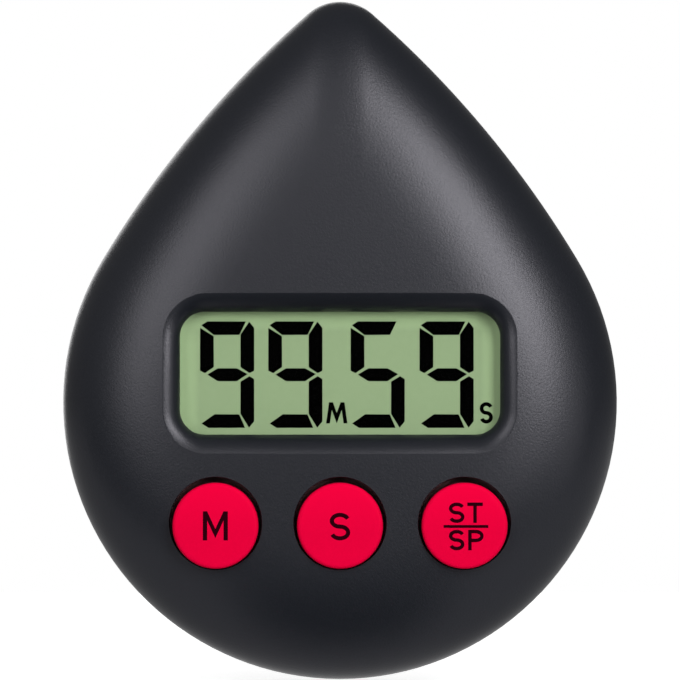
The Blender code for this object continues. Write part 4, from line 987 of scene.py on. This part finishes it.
def make_buttons():
    top = BUTTON_TOP_Z
    rim = BUTTON_RADIUS - BUTTON_EDGE
    flange = BUTTON_RADIUS + FLANGE_WIDTH
    hollow = BUTTON_RADIUS - BUTTON_WALL
    ceiling = top - BUTTON_WALL - BUTTON_EDGE
    profile = [(0, top), (rim - GAP, top)]
    profile += arc((rim, top - BUTTON_EDGE), BUTTON_EDGE, 90, 0, EDGE_STEPS)
    profile += [(BUTTON_RADIUS, FLANGE_TOP_Z), (flange, FLANGE_TOP_Z), (flange, FLANGE_LOW_Z),
                (hollow, FLANGE_LOW_Z), (hollow, ceiling), (STEM_RADIUS, ceiling),
                (STEM_RADIUS, STEM_LOW_Z), (0, STEM_LOW_Z)]
    for key in KEYS:
        node = "button_" + key
        body = key + "_key"
        at = place(node)
        show(node + "_skin", turned(profile, at), body, RED_PLASTIC, [node])
        show("legend_" + key, legend(key, at, top), body, LEGEND_INK)


def make_domes():
    foot = BUTTON_RADIUS - BUTTON_WALL - GAP
    boss = STEM_RADIUS + DOME_WALL / 2
    for key in KEYS:
        node = "dome_" + key
        low, top = rear_level(node), front_level(node)
        boss_low = front_level("contact_pill_" + key) + PILL_GAP
        profile = [(0, top), (boss, top), (boss, top - DOME_WALL), (foot - DOME_WALL, low + DOME_BASE),
                   (foot, low + DOME_BASE), (foot, low), (foot - 2 * DOME_WALL, low),
                   (boss - DOME_WALL / 2, boss_low), (0, boss_low)]
        skin = turned(profile, place(node))
        dome = show(node + "_skin", skin, "case", GREY_SILICONE, [node])
        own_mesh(dome)


# Display

# Corners of the segments of a digit, as shares of its width and height
SEGMENTS = {
    "a": ((0.03, 0.965), (0.14, 1.0), (0.84, 1.0), (0.72, 0.877), (0.26, 0.877)),
    "b": ((0.91, 0.995), (1.0, 0.936), (1.0, 0.542), (0.915, 0.519), (0.753, 0.575), (0.753, 0.873)),
    "c": ((0.915, 0.481), (1.0, 0.453), (1.0, 0.064), (0.907, 0.005), (0.753, 0.134), (0.753, 0.429)),
    "d": ((0.033, 0.04), (0.274, 0.123), (0.716, 0.123), (0.823, 0.0), (0.163, 0.0)),
    "f": ((0.0, 0.936), (0.247, 0.858), (0.247, 0.575), (0.088, 0.519), (0.0, 0.542)),
    "g": ((0.14, 0.5), (0.335, 0.557), (0.674, 0.557), (0.87, 0.505), (0.674, 0.441), (0.335, 0.441)),
}
LIT = {"9": "abcdfg", "5": "acdfg"}
DIGIT_WIDTH = 7.15 * MM
DIGIT_HEIGHT = 14.1 * MM
DIGIT_LOW = -3.35 * MM
SEGMENT_GROW = 0.07 * MM  # how far a segment's corners move outwards
DIGITS = (("9", -18.58 * MM), ("9", -9.51 * MM), ("5", 1.44 * MM), ("9", 10.6 * MM))  # left sides
UNIT_M_PLACE = (-0.43 * MM, -1.38 * MM)
UNIT_M_SIZE = (2.84 * MM, 2.8 * MM)
UNIT_M_LINE = 0.51 * MM
UNIT_M_LEAN = 0.17
UNIT_S_PLACE = (19.45 * MM, -1.38 * MM)
UNIT_S_SIZE = (1.75 * MM, 2.85 * MM)
UNIT_S_LINE = 0.5 * MM
ZEBRA_EDGE = 0.15 * MM
PAD_EDGE = 0.2 * MM


def make_display():
    work = bmesh.new()
    z = GLASS_FRONT_Z
    for digit, left in DIGITS:
        for name in LIT[digit]:
            shares = SEGMENTS[name]
            points = [Vector((left + u * DIGIT_WIDTH, DIGIT_LOW + v * DIGIT_HEIGHT, z)) for u, v in shares]
            middle = sum(points, Vector()) / len(points)
            corners = [point + (point - middle).normalized() * SEGMENT_GROW for point in points]
            work.faces.new([work.verts.new(corner) for corner in corners])
    print_m(work, UNIT_M_PLACE, UNIT_M_SIZE, UNIT_M_LINE, z, lean=UNIT_M_LEAN)
    print_letter(work, "S", UNIT_S_PLACE, UNIT_S_SIZE, UNIT_S_LINE, z)
    show("lcd_segments", printed(work), "case", LCD_DARK)


def block_skin(node, paint, edge):
    """Fine copy of a plain block with softened edges."""
    low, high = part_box(node)
    work = bmesh.new()
    bmesh.ops.create_cube(work, size=1.0)
    size = high - low
    bmesh.ops.scale(work, vec=(size.x, size.z, size.y), verts=work.verts)
    middle = (low + high) / 2
    bmesh.ops.translate(work, vec=(middle.x, middle.z + CUP_RISE, -middle.y), verts=work.verts)
    bmesh.ops.bevel(work, geom=work.edges[:], offset=edge, segments=BLOCK_EDGE_STEPS, affect="EDGES",
                    profile=0.5)  # a round edge
    show(node + "_skin", to_mesh(work), "case", paint, [node])


def dress_frame():
    """Finishes of the pieces that show as they were packed."""
    plain = {"display_lens": LENS_CLEAR, "lcd_cell": LCD_GREEN, "lcd_reflector": REFLECTOR,
             "circuit_board": BOARD_GREEN, "chip_blob": POTTING, "quartz_crystal": CELL_STEEL,
             "chip_capacitor_1": CAPACITOR, "chip_capacitor_2": CAPACITOR,
             "sounder_plate": BRASS, "sounder_ceramic": CERAMIC,
             "sounder_lead_plate": LEAD_BLACK, "sounder_lead_ceramic": LEAD_RED,
             "battery_cell": CELL_STEEL, "battery_contact_positive": NICKEL,
             "battery_contact_negative": NICKEL}
    for corner in ("upper_left", "upper_right", "lower_left", "lower_right"):
        plain["board_screw_" + corner] = SCREW_STEEL
    for key in KEYS:
        plain["contact_pill_" + key] = CARBON
    for node, paint in plain.items():
        mesh = frame["nodes"][node].data
        mesh.materials.clear()
        mesh.materials.append(paint)


# Studio

WHITE = (1, 1, 1, 1)
ROOM_LIGHT = 0.165  # even light of the room on the object
ROOM_LEFT = 0.27  # the room in front of the object, as gloss shows it
ROOM_RIGHT = 0.15
ROOM_LOW = 0.02  # the same below the object
ROOM_ACROSS = (-1.0, 1.0)  # from left to right, along X of a ray's direction
ROOM_UPWARDS = (-0.35, 0.15)  # from below to the room, along Z
ROOM_BACKWARDS = (0.7, 1.9)  # from the room towards the backdrop, along Y


def ramp(tree, value, limits, low=0.0, high=1.0):
    """Smooth change from a low to a high strength between two limits."""
    inputs = {"Value": value, "From Min": limits[0], "From Max": limits[1], "To Min": low, "To Max": high}
    return add_node(tree, "MapRange", "Result", inputs, interpolation_type="SMOOTHSTEP")


def seen_straight(tree):
    """One where the camera sees a thing directly or through something clear, else nought."""
    rays = {0: add_node(tree, "LightPath", "Is Camera Ray", {}),
            1: add_node(tree, "LightPath", "Is Transmission Ray", {})}
    return add_node(tree, "Math", "Value", rays, operation="MAXIMUM")


def make_world():
    """White backdrop behind the object, a dim room in front of it and a dark one below."""
    world = bpy.data.worlds.new("studio")
    bpy.context.scene.world = world
    world.use_nodes = True
    tree = world.node_tree
    tree.nodes.clear()
    direction = add_node(tree, "TexCoord", "Generated", {})

    def along(axis, limits):
        return ramp(tree, add_node(tree, "SeparateXYZ", axis, {"Vector": direction}), limits)

    def light(strength):
        return add_node(tree, "Background", "Background", {"Color": WHITE, "Strength": strength})

    white = light(1.0)
    room = blend(tree, along("X", ROOM_ACROSS), light(ROOM_LEFT), light(ROOM_RIGHT))
    front = blend(tree, along("Z", ROOM_UPWARDS), light(ROOM_LOW), room)
    gloss = blend(tree, along("Y", ROOM_BACKWARDS), front, white)
    unseen = blend(tree, add_node(tree, "LightPath", "Is Glossy Ray", {}), light(ROOM_LIGHT), gloss)
    out = tree.nodes.new("ShaderNodeOutputWorld")
    tree.links.new(blend(tree, seen_straight(tree), unseen, white), out.inputs["Surface"])


FLOOR_FRONT = -0.06  # the floor starts here
FLOOR_REACH = 0.4  # and ends here, to the back and to both sides
FLOOR_LIFT = 0.74  # added to the lit floor as seen, so that it is white outside the shadow
FLOOR_FAR = 0.5  # far from the object the painted reflection is this dim in gloss
POOL_Y = 0.01  # the painted pool of light that gloss shows on the floor: its middle,
POOL_LIGHT = 1.00  # its strength,
POOL_LIMITS = (0.018, 0.045)  # how far it is full and where it ends,
POOL_SQUEEZE = 1.25  # and how much narrower it is across
SHADE_Y = -0.05  # the painted shadow in front of the object, as gloss shows it: its middle,
SHADE_LIMITS = (0.012, 0.03)  # how far it is dark and where it ends


def floor_paint():
    """Pale paint, white as seen outside the shadow; gloss shows a painted pool of light and a painted shadow
    on it, a painted reflection.
    """
    paint = finish("pale_floor", grey(0.8), grey(0.84), (0.8, 0.9), scale=40, specular=0.1)
    tree = paint.node_tree
    where = tree.nodes["Texture Coordinate"].outputs["Object"]
    diffuse = tree.nodes["Principled BSDF"].outputs["BSDF"]

    def away(middle, squeeze):
        shift = {"Vector": where, "Location": (0, -middle, 0), "Scale": (squeeze, 1, 0)}
        return add_node(tree, "VectorMath", "Value", {0: add_node(tree, "Mapping", "Vector", shift)},
                        operation="LENGTH")

    def glow(strength):
        return add_node(tree, "Emission", "Emission", {"Strength": strength})

    pool = ramp(tree, away(POOL_Y, POOL_SQUEEZE), POOL_LIMITS, POOL_LIGHT, FLOOR_FAR)
    shade = ramp(tree, away(SHADE_Y, 1), SHADE_LIMITS)
    painted_reflection = glow(add_node(tree, "Math", "Value", {0: pool, 1: shade}, operation="MULTIPLY"))
    lift = add_node(tree, "MapRange", "Result", {"Value": seen_straight(tree), "To Max": FLOOR_LIFT})
    lit = add_node(tree, "AddShader", "Shader", {0: diffuse, 1: glow(lift)})
    gloss = add_node(tree, "LightPath", "Is Glossy Ray", {})
    surface = tree.nodes["Material Output"].inputs["Surface"]
    tree.links.new(blend(tree, gloss, lit, painted_reflection), surface)
    return paint


def make_floor():
    """Pale floor under the object, starting a little in front of it."""
    z = CAD_BOX[0].z - GAP
    corners = [(-FLOOR_REACH, FLOOR_FRONT, z), (FLOOR_REACH, FLOOR_FRONT, z),
               (FLOOR_REACH, FLOOR_REACH, z), (-FLOOR_REACH, FLOOR_REACH, z)]
    mesh = bpy.data.meshes.new("floor")
    mesh.from_pydata(corners, [], [(0, 1, 2, 3)])
    mesh.materials.append(floor_paint())
    floor = bpy.data.objects.new("floor", mesh)
    bpy.context.scene.collection.objects.link(floor)


# Each light's name, direction from the face, distance, width and height in metres, and power in watts
SOFTBOXES = (
    ("right_strip", (0.46, -0.87, 0.3), 0.7, 0.26, 0.45, 3.5),
    ("left_strip", (-0.46, -0.87, 0.28), 0.7, 0.3, 0.48, 1.6),
    ("low_fill", (0.76, -0.64, -0.1), 0.7, 0.3, 0.3, 0.24),
    ("back_fill", (-0.2, 0.96, 0.22), 0.8, 0.6, 0.6, 2.0),
    ("top_panel", (0, -0.9, 0.42), 0.8, 0.5, 0.36, 0.03),
)


def softbox(name, direction, distance, width, height, power):
    """Rectangular soft light aimed at the middle of the face."""
    light = bpy.data.lights.new(name, "AREA")
    light.shape = "RECTANGLE"
    light.size = width
    light.size_y = height
    light.energy = power
    obj = bpy.data.objects.new(name, light)
    bpy.context.scene.collection.objects.link(obj)
    aim = Vector(direction).normalized()
    target = Vector((0, -OUTLINE_Z, PICTURE_RISE - CUP_RISE))
    obj.location = target + aim * distance
    obj.rotation_euler = aim.to_track_quat("Z", "Y").to_euler()


def make_camera():
    data = bpy.data.cameras.new("camera")
    data.sensor_width = SENSOR
    data.lens = SENSOR * CAMERA_DISTANCE / PICTURE_WIDTH
    camera = bpy.data.objects.new("camera", data)
    bpy.context.scene.collection.objects.link(camera)
    camera.location = (0, -OUTLINE_Z - CAMERA_DISTANCE, PICTURE_RISE - CUP_RISE)
    camera.rotation_euler = (radians(90), 0, 0)
    bpy.context.scene.camera = camera
    bpy.context.scene.view_settings.view_transform = "Standard"


make_front_case()
make_rear_cover()
make_gasket()
make_case_screws()
make_battery_door()
make_battery_seal()
make_suction_cup()
make_buttons()
make_domes()
make_display()
block_skin("zebra_connector", ZEBRA, ZEBRA_EDGE)
block_skin("lcd_support_pad", FOAM, PAD_EDGE)
dress_frame()
make_world()
make_floor()
for box in SOFTBOXES:
    softbox(*box)
make_camera()
